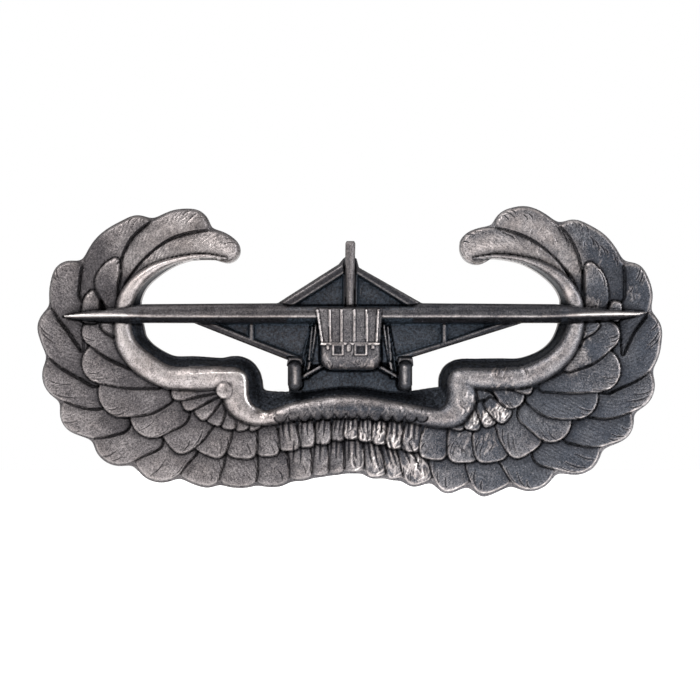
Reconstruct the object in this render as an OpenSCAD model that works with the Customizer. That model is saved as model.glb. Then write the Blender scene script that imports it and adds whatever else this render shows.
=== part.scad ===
// Winged glider lapel pin. Millimetres. Worn upright: X across the wings, Z up, the front
// faces -Y, the back tablet lies on Y = 0 and the two posts and clutches stand towards +Y.

/* [Badge] */
// overall width across the wings
badge_w = 38.1; // [30:0.1:52]
// thickness of the plain sheet under the relief
plate_t = 0.9; // [0.7:0.05:1.4]
// height of the outer feather row above the back
outer_h = 1.35; // [1.2:0.05:1.6]
// step up from one feather row to the next
row_step = 0.28; // [0.15:0.01:0.4]
// height of the smooth leading-edge band
band_h = 2.15; // [1.9:0.05:2.5]
// height of the cross spar
spar_h = 2.45; // [2.2:0.05:2.8]
// height of the glider's nose
nose_h = 2.9; // [2.6:0.05:3.3]
// length of the tablet on the back
tablet_w = 6; // [4:0.1:7]
// height of the tablet on the back
tablet_h = 3; // [2:0.1:3.4]

/* [Posts] */
// distance between the two posts
post_pitch = 17.6; // [16.5:0.1:18.5]
// post centres below the middle of the badge
post_drop = 4.4; // [4:0.1:4.8]
// post diameter
post_d = 1; // [0.9:0.01:1.05]
// post length from the back
post_l = 8; // [7.5:0.1:9]
// diameter of the soldered foot
pad_d = 4; // [3:0.1:5]

/* [Clutches] */
// cloth held between the badge and a clutch
cloth_t = 3.05; // [2.9:0.05:3.4]
// clutch cup diameter
cup_d = 7.2; // [7.1:0.1:7.5]
// sheet thickness of a cup
cup_sheet = 0.25; // [0.2:0.01:0.3]
// thickness of the spring strip
strip_t = 0.22; // [0.18:0.01:0.24]
// clearance round a post in its jaws
jaw_gap = 0.05; // [0.03:0.01:0.08]

/* [Hidden] */
scale_k = badge_w / 38.1;
tablet_t = 0.15;
post_r = post_d / 2;
pad_t = 0.4;
solder_top = 0.8;
collar_r = post_r + 0.2;
groove_first = 2.8;
groove_pitch = 1.4;
groove_w = 0.6;
cup_r = cup_d / 2;
cup_wall_h = 1.1;
plate_lift = cup_sheet + 0.07;
plate_top = plate_lift + strip_t;
roll_u = 2.2;
roll_r = 0.16;
roll_w = plate_top + 0.5;
curl_in = roll_r + 0.05;
curl_out = curl_in + strip_t;
arm_half = 1.45;
cross_w = roll_w + 0.95;

// Each feather runs from its round tip to its root as discs [x, z, radius]. A row starts with
// the feather that lies lowest, at the middle of the badge, and ends at the wing's top.
outer_left = [
    [[-0.95, -7.05, 0.58], [-0.9, -5.4, 0.5]],
    [[-1.95, -7.1, 0.65], [-1.9, -5.5, 0.5]],
    [[-3.15, -7.15, 0.8], [-3.1, -5.6, 0.6]],
    [[-4.8, -7.25, 1.05], [-4.8, -5.8, 0.7]],
    [[-6.85, -7.15, 1.2], [-6.8, -5.9, 0.8]],
    [[-9.1, -6.95, 1.3], [-8.7, -5.8, 0.8]],
    [[-11.5, -6.4, 1.6], [-10.3, -5.6, 0.9]],
    [[-14.1, -5.45, 1.6], [-12.2, -5.5, 0.8]],
    [[-16.2, -4.0, 1.5], [-14.8, -4.2, 1.1], [-13.8, -4.4, 0.6]],
    [[-17.15, -1.7, 1.55], [-15.9, -2.45, 1.15], [-14.8, -3.0, 0.6]],
    [[-17.85, 1.0, 1.2], [-17.3, -0.1, 1.15], [-15.6, -1.6, 0.6]],
    [[-17.2, 4.3, 1.05], [-17.3, 3.0, 1.1], [-16.8, 0.8, 0.35]],
    [[-13.2, 7.1, 1.05], [-14.6, 6.3, 1.2], [-15.5, 5.0, 1.05], [-16.1, 3.5, 0.6]],
    [[-9.6, 7.65, 0.98], [-10.8, 7.4, 1.1], [-12.6, 6.25, 0.62], [-14.1, 3.4, 0.3]],
    [[-7.7, 6.4, 0.95], [-10.5, 6.1, 0.6], [-13.1, 4.7, 0.25]]];
outer_right = [
    [[1.3, -7.1, 0.6], [1.3, -5.4, 0.5]],
    [[2.35, -7.2, 0.7], [2.4, -5.5, 0.5]],
    [[3.6, -7.25, 0.8], [3.6, -5.6, 0.6]],
    [[5.1, -7.3, 1.05], [5.2, -5.8, 0.7]],
    [[6.95, -7.35, 1.25], [6.9, -5.8, 0.8]],
    [[8.5, -7.4, 1.35], [8.4, -6.0, 0.8]],
    [[11.0, -7.0, 1.5], [9.8, -6.1, 0.8]],
    [[13.8, -6.1, 1.5], [12.0, -6.3, 0.8]],
    [[15.8, -4.55, 1.55], [14.3, -5.0, 1.1], [13.3, -5.2, 0.5]],
    [[17.1, -2.3, 1.6], [15.9, -3.1, 1.15], [14.9, -3.6, 0.6]],
    [[17.7, 0.7, 1.35], [17.3, -0.5, 1.35], [15.8, -2.0, 0.7]],
    [[17.3, 4.4, 0.95], [17.4, 3.2, 1.1], [16.8, 0.7, 0.35]],
    [[13.8, 6.9, 1.05], [14.9, 6.1, 1.25], [15.7, 4.9, 1.15], [16.2, 3.4, 0.7]],
    [[9.7, 7.7, 1.0], [11.0, 7.5, 1.15], [12.8, 6.3, 0.75], [14.1, 3.4, 0.35]],
    [[7.75, 6.35, 1.0], [10.6, 6.15, 0.62], [13.1, 4.6, 0.25]]];
middle_left = [
    [[-0.75, -5.1, 0.48], [-0.6, -4.2, 0.4]],
    [[-1.7, -5.25, 0.55], [-1.6, -4.2, 0.45]],
    [[-2.7, -5.4, 0.58], [-2.7, -4.2, 0.45]],
    [[-3.75, -5.55, 0.66], [-3.9, -4.3, 0.5]],
    [[-5.05, -5.8, 0.74], [-5.1, -4.4, 0.6]],
    [[-6.6, -5.7, 0.97], [-6.5, -4.6, 0.7]],
    [[-8.4, -5.45, 1.08], [-8.0, -4.5, 0.8]],
    [[-10.2, -4.9, 1.3], [-9.4, -4.2, 0.9]],
    [[-12.1, -4.0, 1.4], [-10.6, -3.7, 0.8]],
    [[-13.9, -2.6, 1.55], [-12.5, -2.9, 1.1], [-11.3, -2.8, 0.6]],
    [[-15.15, -0.8, 1.3], [-13.5, -1.6, 0.8], [-11.8, -2.0, 0.4]],
    [[-15.55, 1.1, 0.9], [-14.5, 0.1, 0.75], [-13.4, -0.8, 0.4]],
    [[-14.8, 1.5, 0.45], [-14.3, 0.9, 0.2]]];
middle_right = [
    [[0.1, -5.0, 0.5], [0.1, -4.2, 0.4]],
    [[1.0, -5.15, 0.5], [1.0, -4.2, 0.4]],
    [[1.85, -5.3, 0.52], [1.85, -4.2, 0.4]],
    [[2.8, -5.5, 0.58], [2.8, -4.3, 0.45]],
    [[3.8, -5.65, 0.62], [3.9, -4.4, 0.5]],
    [[5.15, -5.85, 0.9], [5.3, -4.6, 0.65]],
    [[6.95, -5.9, 1.03], [6.9, -4.7, 0.8]],
    [[8.6, -5.8, 1.1], [8.4, -4.6, 0.8]],
    [[10.4, -5.3, 1.2], [9.7, -4.2, 0.9]],
    [[12.3, -4.4, 1.27], [11.0, -3.9, 0.8]],
    [[13.8, -2.85, 1.42], [12.4, -3.1, 1.1], [11.3, -2.9, 0.6]],
    [[15.2, -1.2, 1.4], [13.6, -1.9, 0.8], [11.9, -2.2, 0.4]],
    [[15.6, 0.95, 0.95], [14.6, -0.2, 0.75], [13.4, -1.0, 0.4]],
    [[14.8, 1.5, 0.45], [14.3, 0.9, 0.2]]];
coverts = [
    [[-15.8, 3.05, 0.72], [-15.6, 2.2, 0.8]],
    [[-14.9, 4.85, 0.78], [-15.0, 3.4, 0.75], [-15.0, 2.4, 0.7]],
    [[16.0, 2.55, 0.55], [15.8, 2.2, 0.7]],
    [[14.75, 4.65, 0.75], [15.05, 3.3, 0.8], [15.0, 2.4, 0.7]]];
fan = [
    [[-6.3, -4.4, 0.48], [-6.6, -3.5, 0.3]],
    [[-7.25, -4.45, 0.48], [-7.2, -3.4, 0.3]],
    [[-8.15, -4.25, 0.5], [-7.8, -3.2, 0.3]],
    [[-9.0, -3.8, 0.55], [-8.1, -3.0, 0.3]],
    [[-9.8, -3.25, 0.55], [-8.3, -2.7, 0.3]],
    [[-10.4, -2.6, 0.6], [-8.4, -2.4, 0.3]],
    [[6.6, -4.4, 0.45], [6.8, -3.5, 0.3]],
    [[7.5, -4.35, 0.5], [7.5, -3.5, 0.3]],
    [[8.35, -4.2, 0.55], [8.0, -3.4, 0.3]],
    [[9.1, -3.8, 0.62], [8.5, -3.2, 0.3]],
    [[9.85, -2.75, 0.85], [9.2, -2.4, 0.5]],
    [[10.7, -2.2, 0.5], [9.8, -2.0, 0.4]]];

// The leading-edge band as discs [x, z, radius, width of the sloped ledge beside it].
band_left = [
    [-7.4, 5.5, 0.12, 0.12], [-9.0, 5.72, 0.14, 0.14], [-10.5, 5.5, 0.2, 0.25],
    [-11.8, 4.95, 0.3, 0.4], [-12.9, 4.1, 0.42, 0.45], [-13.6, 3.1, 0.5, 0.5],
    [-13.85, 2.2, 0.52, 0.6], [-13.9, 1.2, 0.55, 0.7], [-13.6, 0.2, 0.65, 0.6],
    [-12.7, -0.8, 0.75, 0.6], [-11.2, -1.65, 0.72, 0.62], [-9.5, -1.75, 0.75, 0.6],
    [-7.9, -1.65, 0.65, 0.6], [-6.9, -1.7, 0.6, 0.65], [-6.75, -2.8, 0.5, 0.75],
    [-6.1, -3.6, 0.45, 0.98], [-5.0, -4.0, 0.4, 1.1], [-2.8, -3.65, 0.6, 0.5]];
band_right = [
    [7.4, 5.45, 0.12, 0.12], [9.0, 5.62, 0.14, 0.14], [10.5, 5.4, 0.2, 0.25],
    [11.8, 4.9, 0.3, 0.4], [12.85, 4.1, 0.42, 0.45], [13.5, 3.1, 0.5, 0.5],
    [13.6, 2.2, 0.52, 0.55], [13.5, 1.2, 0.55, 0.6], [12.95, 0.1, 0.65, 0.6],
    [12.0, -0.8, 0.7, 0.6], [10.6, -1.6, 0.72, 0.6], [9.2, -1.75, 0.68, 0.6],
    [7.9, -1.7, 0.65, 0.6], [6.9, -1.8, 0.6, 0.6], [6.7, -2.8, 0.5, 0.75],
    [6.1, -3.6, 0.42, 1.0], [5.1, -4.0, 0.38, 1.15], [2.8, -3.7, 0.55, 0.55]];
arch = [[-2.8, -3.65, 0.6, 0.5], [0, -3.45, 0.72, 0.5], [2.8, -3.7, 0.55, 0.55]];

// Outline of the plain sheet behind the feathers of the right wing, a little inside them.
sheet = [[9.5, 6.6], [12.5, 7], [15.5, 5.6], [17.2, 3.5], [17.5, 1], [17, -2], [15.7, -4.4],
         [13.5, -5.8], [11, -6.8], [8, -7.2], [4, -7.1], [0, -6.8], [0, -4], [5.2, -4.2],
         [7, -3.2], [8, -2], [11.2, -1.8], [13.2, -0.4], [13.8, 1.3], [13.7, 2.6], [13.1, 4],
         [11.5, 5.3], [9.5, 5.8]];

// Lays a drawing made in X and Z against the back and raises it towards the front.
module forward(h) {
    rotate([90, 0, 0]) linear_extrude(height = h) children();
}

// Big round ends get more facets than small ones.
function facets(r) = r > 0.9 ? 18 : 12;

// A low crowned disc at [x, z, r], from the back up to height h.
module crowned(d, h, crown) {
    translate([d[0], 0, d[1]]) rotate([90, 0, 0]) {
        cylinder(r = d[2], h = h - crown, $fn = facets(d[2]));
        cylinder(r = d[2] * 0.7, h = h, $fn = facets(d[2]));
    }
}

module chain(discs, h, crown = 0.22) {
    for (i = [0 : len(discs) - 2]) hull() {
        crowned(discs[i], h, crown);
        crowned(discs[i + 1], h, crown);
    }
}

// The feathers of one row, each a little higher than the one it overlaps.
module row(feathers, h) {
    for (i = [0 : len(feathers) - 1]) chain(feathers[i], h + 0.012 * i);
}

module ledge(discs) {
    for (i = [0 : len(discs) - 2]) hull() {
        for (d = [discs[i], discs[i + 1]]) {
            translate([d[0], 0, d[1]]) rotate([90, 0, 0]) {
                cylinder(r = d[2] + d[3], h = plate_t, $fn = 14);
                cylinder(r = d[2], h = band_h - 0.35, $fn = 14);
            }
        }
    }
}

module spar() {
    rotate([90, 0, 0]) hull() {
        linear_extrude(height = spar_h - 0.6)
            polygon([[-17.5, 1.95], [-13, 1.68], [13, 1.68], [18, 2.25], [13, 2.8], [-13, 2.8]]);
        linear_extrude(height = spar_h)
            polygon([[-16.8, 2.05], [-12, 1.95], [12, 1.95], [17.3, 2.25], [12, 2.2], [-12, 2.2]]);
    }
}

// Tail fin, roof-shaped tailplane and the two tapered wing panels.
module tail_and_panels() {
    forward(2.7) polygon([[-0.28, 2.5], [0.4, 2.5], [0.34, 6.65], [-0.22, 6.65]]);
    difference() {
        forward(2.3) polygon([[-4.4, 2.7], [4.5, 2.7], [0.45, 5.5], [-0.45, 5.5]]);
        translate([0, -1.7, 0]) forward(2) {
            polygon([[-3.6, 2.75], [-0.5, 2.75], [-0.5, 4.7]]);
            polygon([[3.7, 2.75], [0.65, 2.75], [0.65, 4.7]]);
        }
    }
    difference() {
        forward(2.2) union() {
            polygon([[-9.3, 1.9], [-9, 1.6], [-2.9, -0.7], [-1, -0.7], [-1, 1.9]]);
            polygon([[10.3, 1.9], [10.3, 1.65], [2.6, -0.75], [1, -0.75], [1, 1.9]]);
        }
        translate([0, -1.7, 0]) forward(2) {
            polygon([[-8, 1.6], [-6.1, 1.6], [-6.1, 0.8]]);
            polygon([[-5.8, 1.6], [-2.3, 1.6], [-2.9, -0.35], [-5.8, 0.72]]);
            polygon([[8.4, 1.6], [5.95, 1.6], [5.95, 0.7]]);
            polygon([[5.6, 1.6], [2.2, 1.6], [2.7, -0.35], [5.6, 0.62]]);
        }
    }
}

// Ribbed fuselage, window bar, chin, struts, wheels and the plate behind them.
module fuselage() {
    forward(plate_t + 0.5) polygon([[-3.76, -4.3], [3.8, -4.3], [3.8, -0.4], [2, 1.9],
                                    [-2, 1.9], [-3.76, -0.3]]);
    hull() {
        forward(nose_h - 0.5) polygon([[-2, 2.6], [1.85, 2.6], [1.75, -0.3], [1.2, -0.95],
                                       [0.5, -1.1], [-0.6, -1.1], [-1.3, -0.95], [-1.8, -0.3]]);
        forward(nose_h - 0.15) polygon([[-1.5, 2.2], [1.4, 2.2], [1.3, -0.2], [-1.3, -0.2]]);
    }
    for (i = [0 : 5]) {
        top_x = -2 + i * 0.74;
        low_x = -1.65 + i * 0.67;
        forward(nose_h) polygon([[top_x - 0.12, 2.5], [top_x + 0.12, 2.5],
                                 [low_x + 0.12, 0.4], [low_x - 0.12, 0.4]]);
    }
    forward(nose_h) translate([-1.8, 0.3]) square([3.6, 0.16]);
    for (side = [-1, 1]) {
        forward(2.3) polygon([[side * 1.95, 1.6], [side * 2.2, 1.6], [side * 2.7, -1.5],
                              [side * 2.45, -1.5]]);
        forward(2.35) polygon([[side * 1.7, -0.9], [side * 1.8, -1.15], [side * 3.1, -1.75],
                               [side * 3.1, -1.5]]);
        forward(2.7) hull() {
            translate([side * 3.38, -1.15]) circle(r = 0.4, $fn = 16);
            translate([side * 3.38, -2.1]) circle(r = 0.4, $fn = 16);
        }
        forward(2.45) translate([side * 3.38 - 0.5, -1.15]) square([1, 0.6]);
    }
}

module badge_body() {
    color("#8b8488") union() {
        translate([0, -tablet_t, 0]) scale([scale_k, 1, scale_k]) {
            for (side = [-1, 1]) scale([side, 1, 1]) forward(plate_t) polygon(sheet);
            chain([[0.17, -6.95, 0.6], [0.2, -5.4, 0.5]], outer_h);
            row(outer_left, outer_h);
            row(outer_right, outer_h);
            row(middle_left, outer_h + row_step);
            row(middle_right, outer_h + row_step);
            row(coverts, outer_h + row_step);
            row(fan, outer_h + 2 * row_step);
            for (discs = [band_left, band_right, arch]) {
                ledge(discs);
                chain(discs, band_h);
            }
            translate([-7.72, 0, -2.5]) rotate([90, 0, 0]) {
                cylinder(r1 = 0.55, r2 = 0.3, h = band_h + 0.25, $fn = 16);
            }
            spar();
            tail_and_panels();
            fuselage();
        }
        translate([-tablet_w / 2, -0.5, -tablet_h / 2]) cube([tablet_w, 0.5, tablet_h]);
    }
}

// Places a part made along +Z on one post: side is -1 or 1, lift is its distance from Y = 0.
module on_post(side, lift = 0) {
    translate([side * post_pitch / 2, lift, -post_drop]) rotate([-90, 0, 0]) children();
}

module post_pad(side) {
    on_post(side) rotate_extrude($fn = 64)
        polygon([[0, -tablet_t], [pad_d / 2, -tablet_t], [pad_d / 2, 0.2],
                 [pad_d / 2 - 0.3, pad_t], [0, pad_t]]);
}

// Solder: a fillet round the collar at the foot of the post.
module solder(side) {
    on_post(side) rotate_extrude($fn = 64)
        polygon([[collar_r, pad_t], [collar_r + 0.45, pad_t], [collar_r + 0.12, pad_t + 0.12],
                 [collar_r, solder_top - 0.12]]);
}

// A nail post with a collar at its foot, three V grooves and a sharpened end.
module post(side) {
    open = groove_w / 2;
    deep = 0.17;
    on_post(side) difference() {
        rotate_extrude($fn = 64)
            polygon([[0, pad_t], [collar_r, pad_t], [collar_r, solder_top - 0.1],
                     [post_r, solder_top + 0.05], [post_r, post_l - 1], [0.06, post_l],
                     [0, post_l]]);
        for (i = [0 : 2]) translate([0, 0, groove_first + i * groove_pitch + open])
            rotate_extrude($fn = 64)
                polygon([[post_r - deep, 0], [post_r + 0.1, -open * (deep + 0.1) / deep],
                         [post_r + 0.1, open * (deep + 0.1) / deep]]);
    }
}

module clutch_cup(side) {
    on_post(side, cloth_t) rotate_extrude($fn = 96)
        polygon([[post_r + 0.15, 0], [cup_r - 0.3, 0], [cup_r, 0.3], [cup_r, cup_wall_h - 0.2],
                 [cup_r - 0.2, cup_wall_h], [cup_r - 0.5, cup_wall_h],
                 [cup_r - 0.5, cup_wall_h - 0.2], [cup_r - 0.25, cup_wall_h - 0.2],
                 [cup_r - 0.25, cup_sheet + 0.15], [cup_r - 0.35, cup_sheet],
                 [post_r + 0.15, cup_sheet]]);
}

// The captive spring plate with the two bend rolls that carry the arms.
module spring_plate(side) {
    on_post(side, cloth_t) {
        difference() {
            translate([0, 0, plate_lift]) cylinder(r = cup_r - 0.33, h = strip_t, $fn = 96);
            translate([0, 0, plate_lift - 1]) cylinder(r = post_r + 0.15, h = 2, $fn = 48);
        }
        for (s = [-1, 1]) {
            translate([s * roll_u, 0, roll_w]) rotate([90, 0, 0])
                cylinder(r = roll_r, h = 2 * arm_half + 0.5, center = true, $fn = 32);
            for (t = [-1, 1]) translate([s * roll_u, t * (arm_half + 0.18), 0])
                translate([-roll_r, -0.12, plate_top - 0.1])
                    cube([2 * roll_r, 0.24, roll_w - plate_top + 0.1]);
        }
    }
}

// Points of an arm's middle line [u, w]: up from its roll, across the post, out to its ear.
arm_line = [
    [-roll_u, roll_w + curl_in + strip_t / 2], [-1.3, roll_w + 0.42], [0, cross_w],
    [1.3, cross_w + 0.75], [2.3, cross_w + 1.55], [3.0, cross_w + 2.3], [3.3, cross_w + 2.75]];
function unit(v) = v / norm(v);
function along(p, i) = unit(p[min(i + 1, len(p) - 1)] - p[max(i - 1, 0)]);
function beside(p, i, d) = p[i] + d * [-along(p, i)[1], along(p, i)[0]];
function strip(p, t) = concat(
    [for (i = [0 : len(p) - 1]) beside(p, i, t / 2)],
    [for (i = [len(p) - 1 : -1 : 0]) beside(p, i, -t / 2)]);

// One spring arm: a curl round its roll, a strip across the post and a ribbed ear.
module arm_blank() {
    rotate([90, 0, 0]) {
        linear_extrude(height = 4, center = true) polygon(strip(arm_line, strip_t));
        translate([3.3, cross_w + 2.78, 0])
            cylinder(r = 0.2, h = 4, center = true, $fn = 24);
    }
    for (i = [0 : 2]) translate([1.75 + 0.45 * i, 0, cross_w + 1.2 + 0.42 * i]) rotate([90, 0, 0])
        cylinder(r = 0.12, h = 2.4, center = true, $fn = 16);
}

module curl() {
    translate([-roll_u, 0, roll_w]) rotate([90, 0, 0]) difference() {
        cylinder(r = curl_out, h = 2 * arm_half, center = true, $fn = 32);
        cylinder(r = curl_in, h = 4, center = true, $fn = 32);
        rotate([0, 0, -90]) translate([0, 0, -2]) cube([2, 2, 4]);
    }
}

module arm_plan() {
    translate([-roll_u - 1, -arm_half]) square([roll_u + 2.2, 2 * arm_half]);
    translate([1, -1.1]) square([1.2, 2.2]);
    translate([2.5, 0]) scale([0.65, 1]) circle(r = 1.8, $fn = 48);
}

// Arm a has a wide window; its edge nearest the roll is the jaw.
module arm_a(side) {
    on_post(side, cloth_t) {
        difference() {
            intersection() {
                arm_blank();
                linear_extrude(height = 8) arm_plan();
            }
            translate([-post_r - jaw_gap, -0.95, 0]) cube([post_r + jaw_gap + 0.9, 1.9, 8]);
        }
        curl();
    }
}

// Arm b has a narrow neck with a slot; it passes through the window of arm a.
module arm_b(side) {
    on_post(side, cloth_t) rotate([0, 0, 180]) {
        difference() {
            intersection() {
                arm_blank();
                linear_extrude(height = 8) arm_plan();
            }
            for (t = [-1, 1]) translate([-0.9, t * 1.3 - 0.5, 0]) cube([1.8, 1, 8]);
            for (u = [0, 0.13]) translate([u, 0, 0])
                cylinder(r = post_r + jaw_gap, h = 8, $fn = 48);
            translate([0, -post_r - jaw_gap, 0]) cube([0.13, 2 * (post_r + jaw_gap), 8]);
        }
        curl();
    }
}

module post_pad_left() { color("#a9a7a2") post_pad(-1); }
module post_pad_right() { color("#a9a7a2") post_pad(1); }
module post_left() { color("#b5b3ae") post(-1); }
module post_right() { color("#b5b3ae") post(1); }
module solder_left() { color("#9a9a98") solder(-1); }
module solder_right() { color("#9a9a98") solder(1); }
module clutch_cup_left() { color("#b99a52") clutch_cup(-1); }
module clutch_cup_right() { color("#b99a52") clutch_cup(1); }
module spring_plate_left() { color("#b08f48") spring_plate(-1); }
module spring_plate_right() { color("#b08f48") spring_plate(1); }
module arm_a_left() { color("#c2a258") arm_a(-1); }
module arm_a_right() { color("#c2a258") arm_a(1); }
module arm_b_left() { color("#bd9c52") arm_b(-1); }
module arm_b_right() { color("#bd9c52") arm_b(1); }

badge_body();
post_pad_left();
post_pad_right();
post_left();
post_right();
solder_left();
solder_right();
clutch_cup_left();
clutch_cup_right();
spring_plate_left();
spring_plate_right();
arm_a_left();
arm_a_right();
arm_b_left();
arm_b_right();
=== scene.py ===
"""A winged glider lapel pin: a die-struck relief, its flat back, two nail posts and two clutches.

The relief is one height field. Each feather and each part of the glider is stamped into it in
the order in which the engraver laid them, and the field is then cut out along its own outline.
Lengths in the design lists are millimetres; everything Blender gets is in metres.
"""
import math

import bmesh
import bpy
import numpy as np
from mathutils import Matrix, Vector


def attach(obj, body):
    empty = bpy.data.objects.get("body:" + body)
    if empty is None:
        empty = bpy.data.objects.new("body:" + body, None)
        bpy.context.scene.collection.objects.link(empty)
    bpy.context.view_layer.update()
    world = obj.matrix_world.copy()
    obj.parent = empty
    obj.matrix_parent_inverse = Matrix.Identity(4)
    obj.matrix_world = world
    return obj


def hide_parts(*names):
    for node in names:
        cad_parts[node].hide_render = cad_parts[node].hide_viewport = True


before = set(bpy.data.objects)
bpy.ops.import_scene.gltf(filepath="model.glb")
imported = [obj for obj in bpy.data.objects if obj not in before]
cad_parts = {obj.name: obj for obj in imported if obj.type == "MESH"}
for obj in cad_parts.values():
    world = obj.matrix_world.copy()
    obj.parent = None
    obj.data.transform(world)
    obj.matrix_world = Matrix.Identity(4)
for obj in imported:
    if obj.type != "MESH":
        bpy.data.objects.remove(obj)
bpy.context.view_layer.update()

MM = 0.001
STEP = 0.055           # spacing of the height field
BACK_Y = 0.15          # the relief's own back lies this far in front of the tablet
RNG = np.random.default_rng(7)

# ---------------------------------------------------------------- the design, in millimetres
# A feather is its round tip, then what follows to its root, as discs (x, z, radius). Each row
# starts with the feather that lies lowest, at the middle, and ends at the top of the wing.
OUTER_LEFT = [
    [(-0.95, -6.92, 0.56), (-0.9, -5.4, 0.5)],
    [(-1.95, -6.98, 0.63), (-1.9, -5.5, 0.5)],
    [(-3.15, -7.04, 0.8), (-3.1, -5.6, 0.6)],
    [(-4.8, -7.17, 1.04), (-4.8, -5.8, 0.7)],
    [(-6.85, -7.08, 1.18), (-6.8, -5.9, 0.8)],
    [(-9.05, -6.9, 1.25), (-8.75, -6.1, 1.12)],
    [(-11.55, -6.38, 1.6), (-10.3, -5.8, 1.1)],
    [(-14.05, -5.42, 1.57), (-12.2, -5.5, 0.8)],
    [(-16.47, -3.9, 1.23), (-15.5, -4.25, 1.2), (-14.2, -4.4, 0.8)],
    [(-17.24, -1.58, 1.55), (-16.0, -2.45, 1.2), (-14.8, -3.0, 0.6)],
    [(-17.82, 1.3, 1.28), (-17.3, 0.1, 1.25), (-15.6, -1.6, 0.7)],
    [(-17.2, 4.3, 1.05), (-17.3, 3.0, 1.1), (-16.8, 1.2, 0.5), (-16.45, 0.0, 0.12)],
    [(-13.1, 7.15, 1.02), (-14.6, 6.2, 1.15), (-15.45, 5.0, 1.03), (-16.1, 3.5, 0.6)],
    [(-9.75, 7.63, 0.93), (-10.8, 7.35, 1.15), (-12.6, 6.4, 0.95), (-13.75, 4.9, 0.5),
     (-14.1, 3.4, 0.25)],
    [(-7.6, 6.15, 0.72), (-8.5, 6.45, 0.9), (-10.5, 6.2, 0.8), (-12.2, 5.2, 0.6),
     (-13.5, 4.0, 0.3)],
]
OUTER_RIGHT = [
    [(1.6, -7.1, 0.6), (1.3, -5.4, 0.5)],
    [(2.78, -7.25, 0.55), (2.3, -5.5, 0.5)],
    [(4.1, -7.28, 0.86), (3.5, -5.7, 0.7)],
    [(6.2, -7.34, 1.14), (5.5, -6.0, 0.8)],
    [(8.5, -7.37, 1.25), (8.0, -6.2, 0.9)],
    [(11.0, -7.0, 1.5), (9.8, -6.1, 1.0)],
    [(13.78, -6.08, 1.46), (12.0, -6.3, 0.9)],
    [(16.1, -4.45, 1.2), (15.0, -4.75, 1.25), (13.6, -5.1, 0.7)],
    [(17.06, -2.2, 1.55), (15.9, -3.1, 1.15), (14.9, -3.6, 0.6)],
    [(17.7, 1.0, 1.38), (17.35, -0.4, 1.4), (15.8, -2.0, 0.7)],
    [(17.26, 4.33, 0.91), (17.44, 3.1, 1.1), (17.0, 1.2, 0.5), (16.75, -0.2, 0.12)],
    [(13.78, 6.87, 1.03), (14.87, 6.07, 1.23), (15.7, 4.9, 1.15), (16.2, 3.4, 0.7)],
    [(9.97, 7.63, 0.95), (11.0, 7.5, 1.2), (12.7, 6.4, 0.95), (13.8, 4.9, 0.45),
     (14.1, 3.4, 0.2)],
    [(7.86, 6.32, 0.99), (8.7, 6.6, 0.92), (10.6, 6.2, 0.78), (12.3, 5.2, 0.52),
     (13.4, 4.1, 0.25)],
]
MIDDLE_LEFT = [
    [(-0.75, -5.1, 0.48), (-0.6, -4.2, 0.4)],
    [(-1.7, -5.25, 0.55), (-1.6, -4.2, 0.45)],
    [(-2.7, -5.4, 0.58), (-2.7, -4.2, 0.45)],
    [(-3.75, -5.55, 0.66), (-3.9, -4.3, 0.5)],
    [(-5.05, -5.8, 0.74), (-5.1, -4.4, 0.6)],
    [(-6.6, -5.7, 0.97), (-6.5, -4.6, 0.7)],
    [(-8.4, -5.45, 1.08), (-8.0, -4.5, 0.8)],
    [(-10.2, -4.9, 1.3), (-9.5, -4.4, 1.05)],
    [(-12.1, -4.0, 1.4), (-10.8, -3.8, 1.05)],
    [(-13.9, -2.6, 1.55), (-12.5, -2.9, 1.1), (-11.3, -2.8, 0.6)],
    [(-15.15, -0.8, 1.3), (-13.5, -1.6, 0.8), (-11.8, -2.0, 0.4)],
    [(-15.55, 1.1, 0.9), (-14.5, 0.1, 0.75), (-13.4, -0.8, 0.4)],
    [(-14.8, 1.5, 0.45), (-14.3, 0.9, 0.2)],
]
MIDDLE_RIGHT = [
    [(0.1, -5.0, 0.5), (0.1, -4.2, 0.4)],
    [(1.0, -5.15, 0.5), (1.0, -4.2, 0.4)],
    [(1.85, -5.3, 0.52), (1.85, -4.2, 0.4)],
    [(2.8, -5.5, 0.58), (2.8, -4.3, 0.45)],
    [(3.8, -5.65, 0.62), (3.9, -4.4, 0.5)],
    [(5.15, -5.85, 0.9), (5.3, -4.6, 0.65)],
    [(6.95, -5.9, 1.03), (6.9, -4.7, 0.8)],
    [(8.6, -5.8, 1.1), (8.4, -4.6, 0.8)],
    [(10.4, -5.3, 1.2), (9.7, -4.2, 0.9)],
    [(12.3, -4.4, 1.27), (11.0, -3.9, 0.8)],
    [(13.8, -2.85, 1.42), (12.4, -3.1, 1.1), (11.3, -2.9, 0.6)],
    [(15.2, -1.2, 1.4), (13.6, -1.9, 0.8), (11.9, -2.2, 0.4)],
    [(15.6, 0.95, 0.95), (14.6, -0.2, 0.75), (13.4, -1.0, 0.4)],
    [(14.8, 1.5, 0.45), (14.3, 0.9, 0.2)],
]
COVERTS_LEFT = [
    [(-15.75, 3.45, 0.22), (-15.85, 2.9, 0.5), (-15.9, 2.2, 0.6)],
    [(-14.4, 5.4, 0.28), (-14.72, 4.75, 0.62), (-14.95, 4.0, 0.75), (-14.7, 3.1, 0.52),
     (-14.6, 2.3, 0.35)],
]
COVERTS_RIGHT = [
    [(16.3, 2.65, 0.36), (16.2, 2.2, 0.45)],
    [(14.72, 5.05, 0.36), (15.0, 4.3, 0.66), (15.12, 3.4, 0.77), (15.05, 2.5, 0.75)],
]
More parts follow.
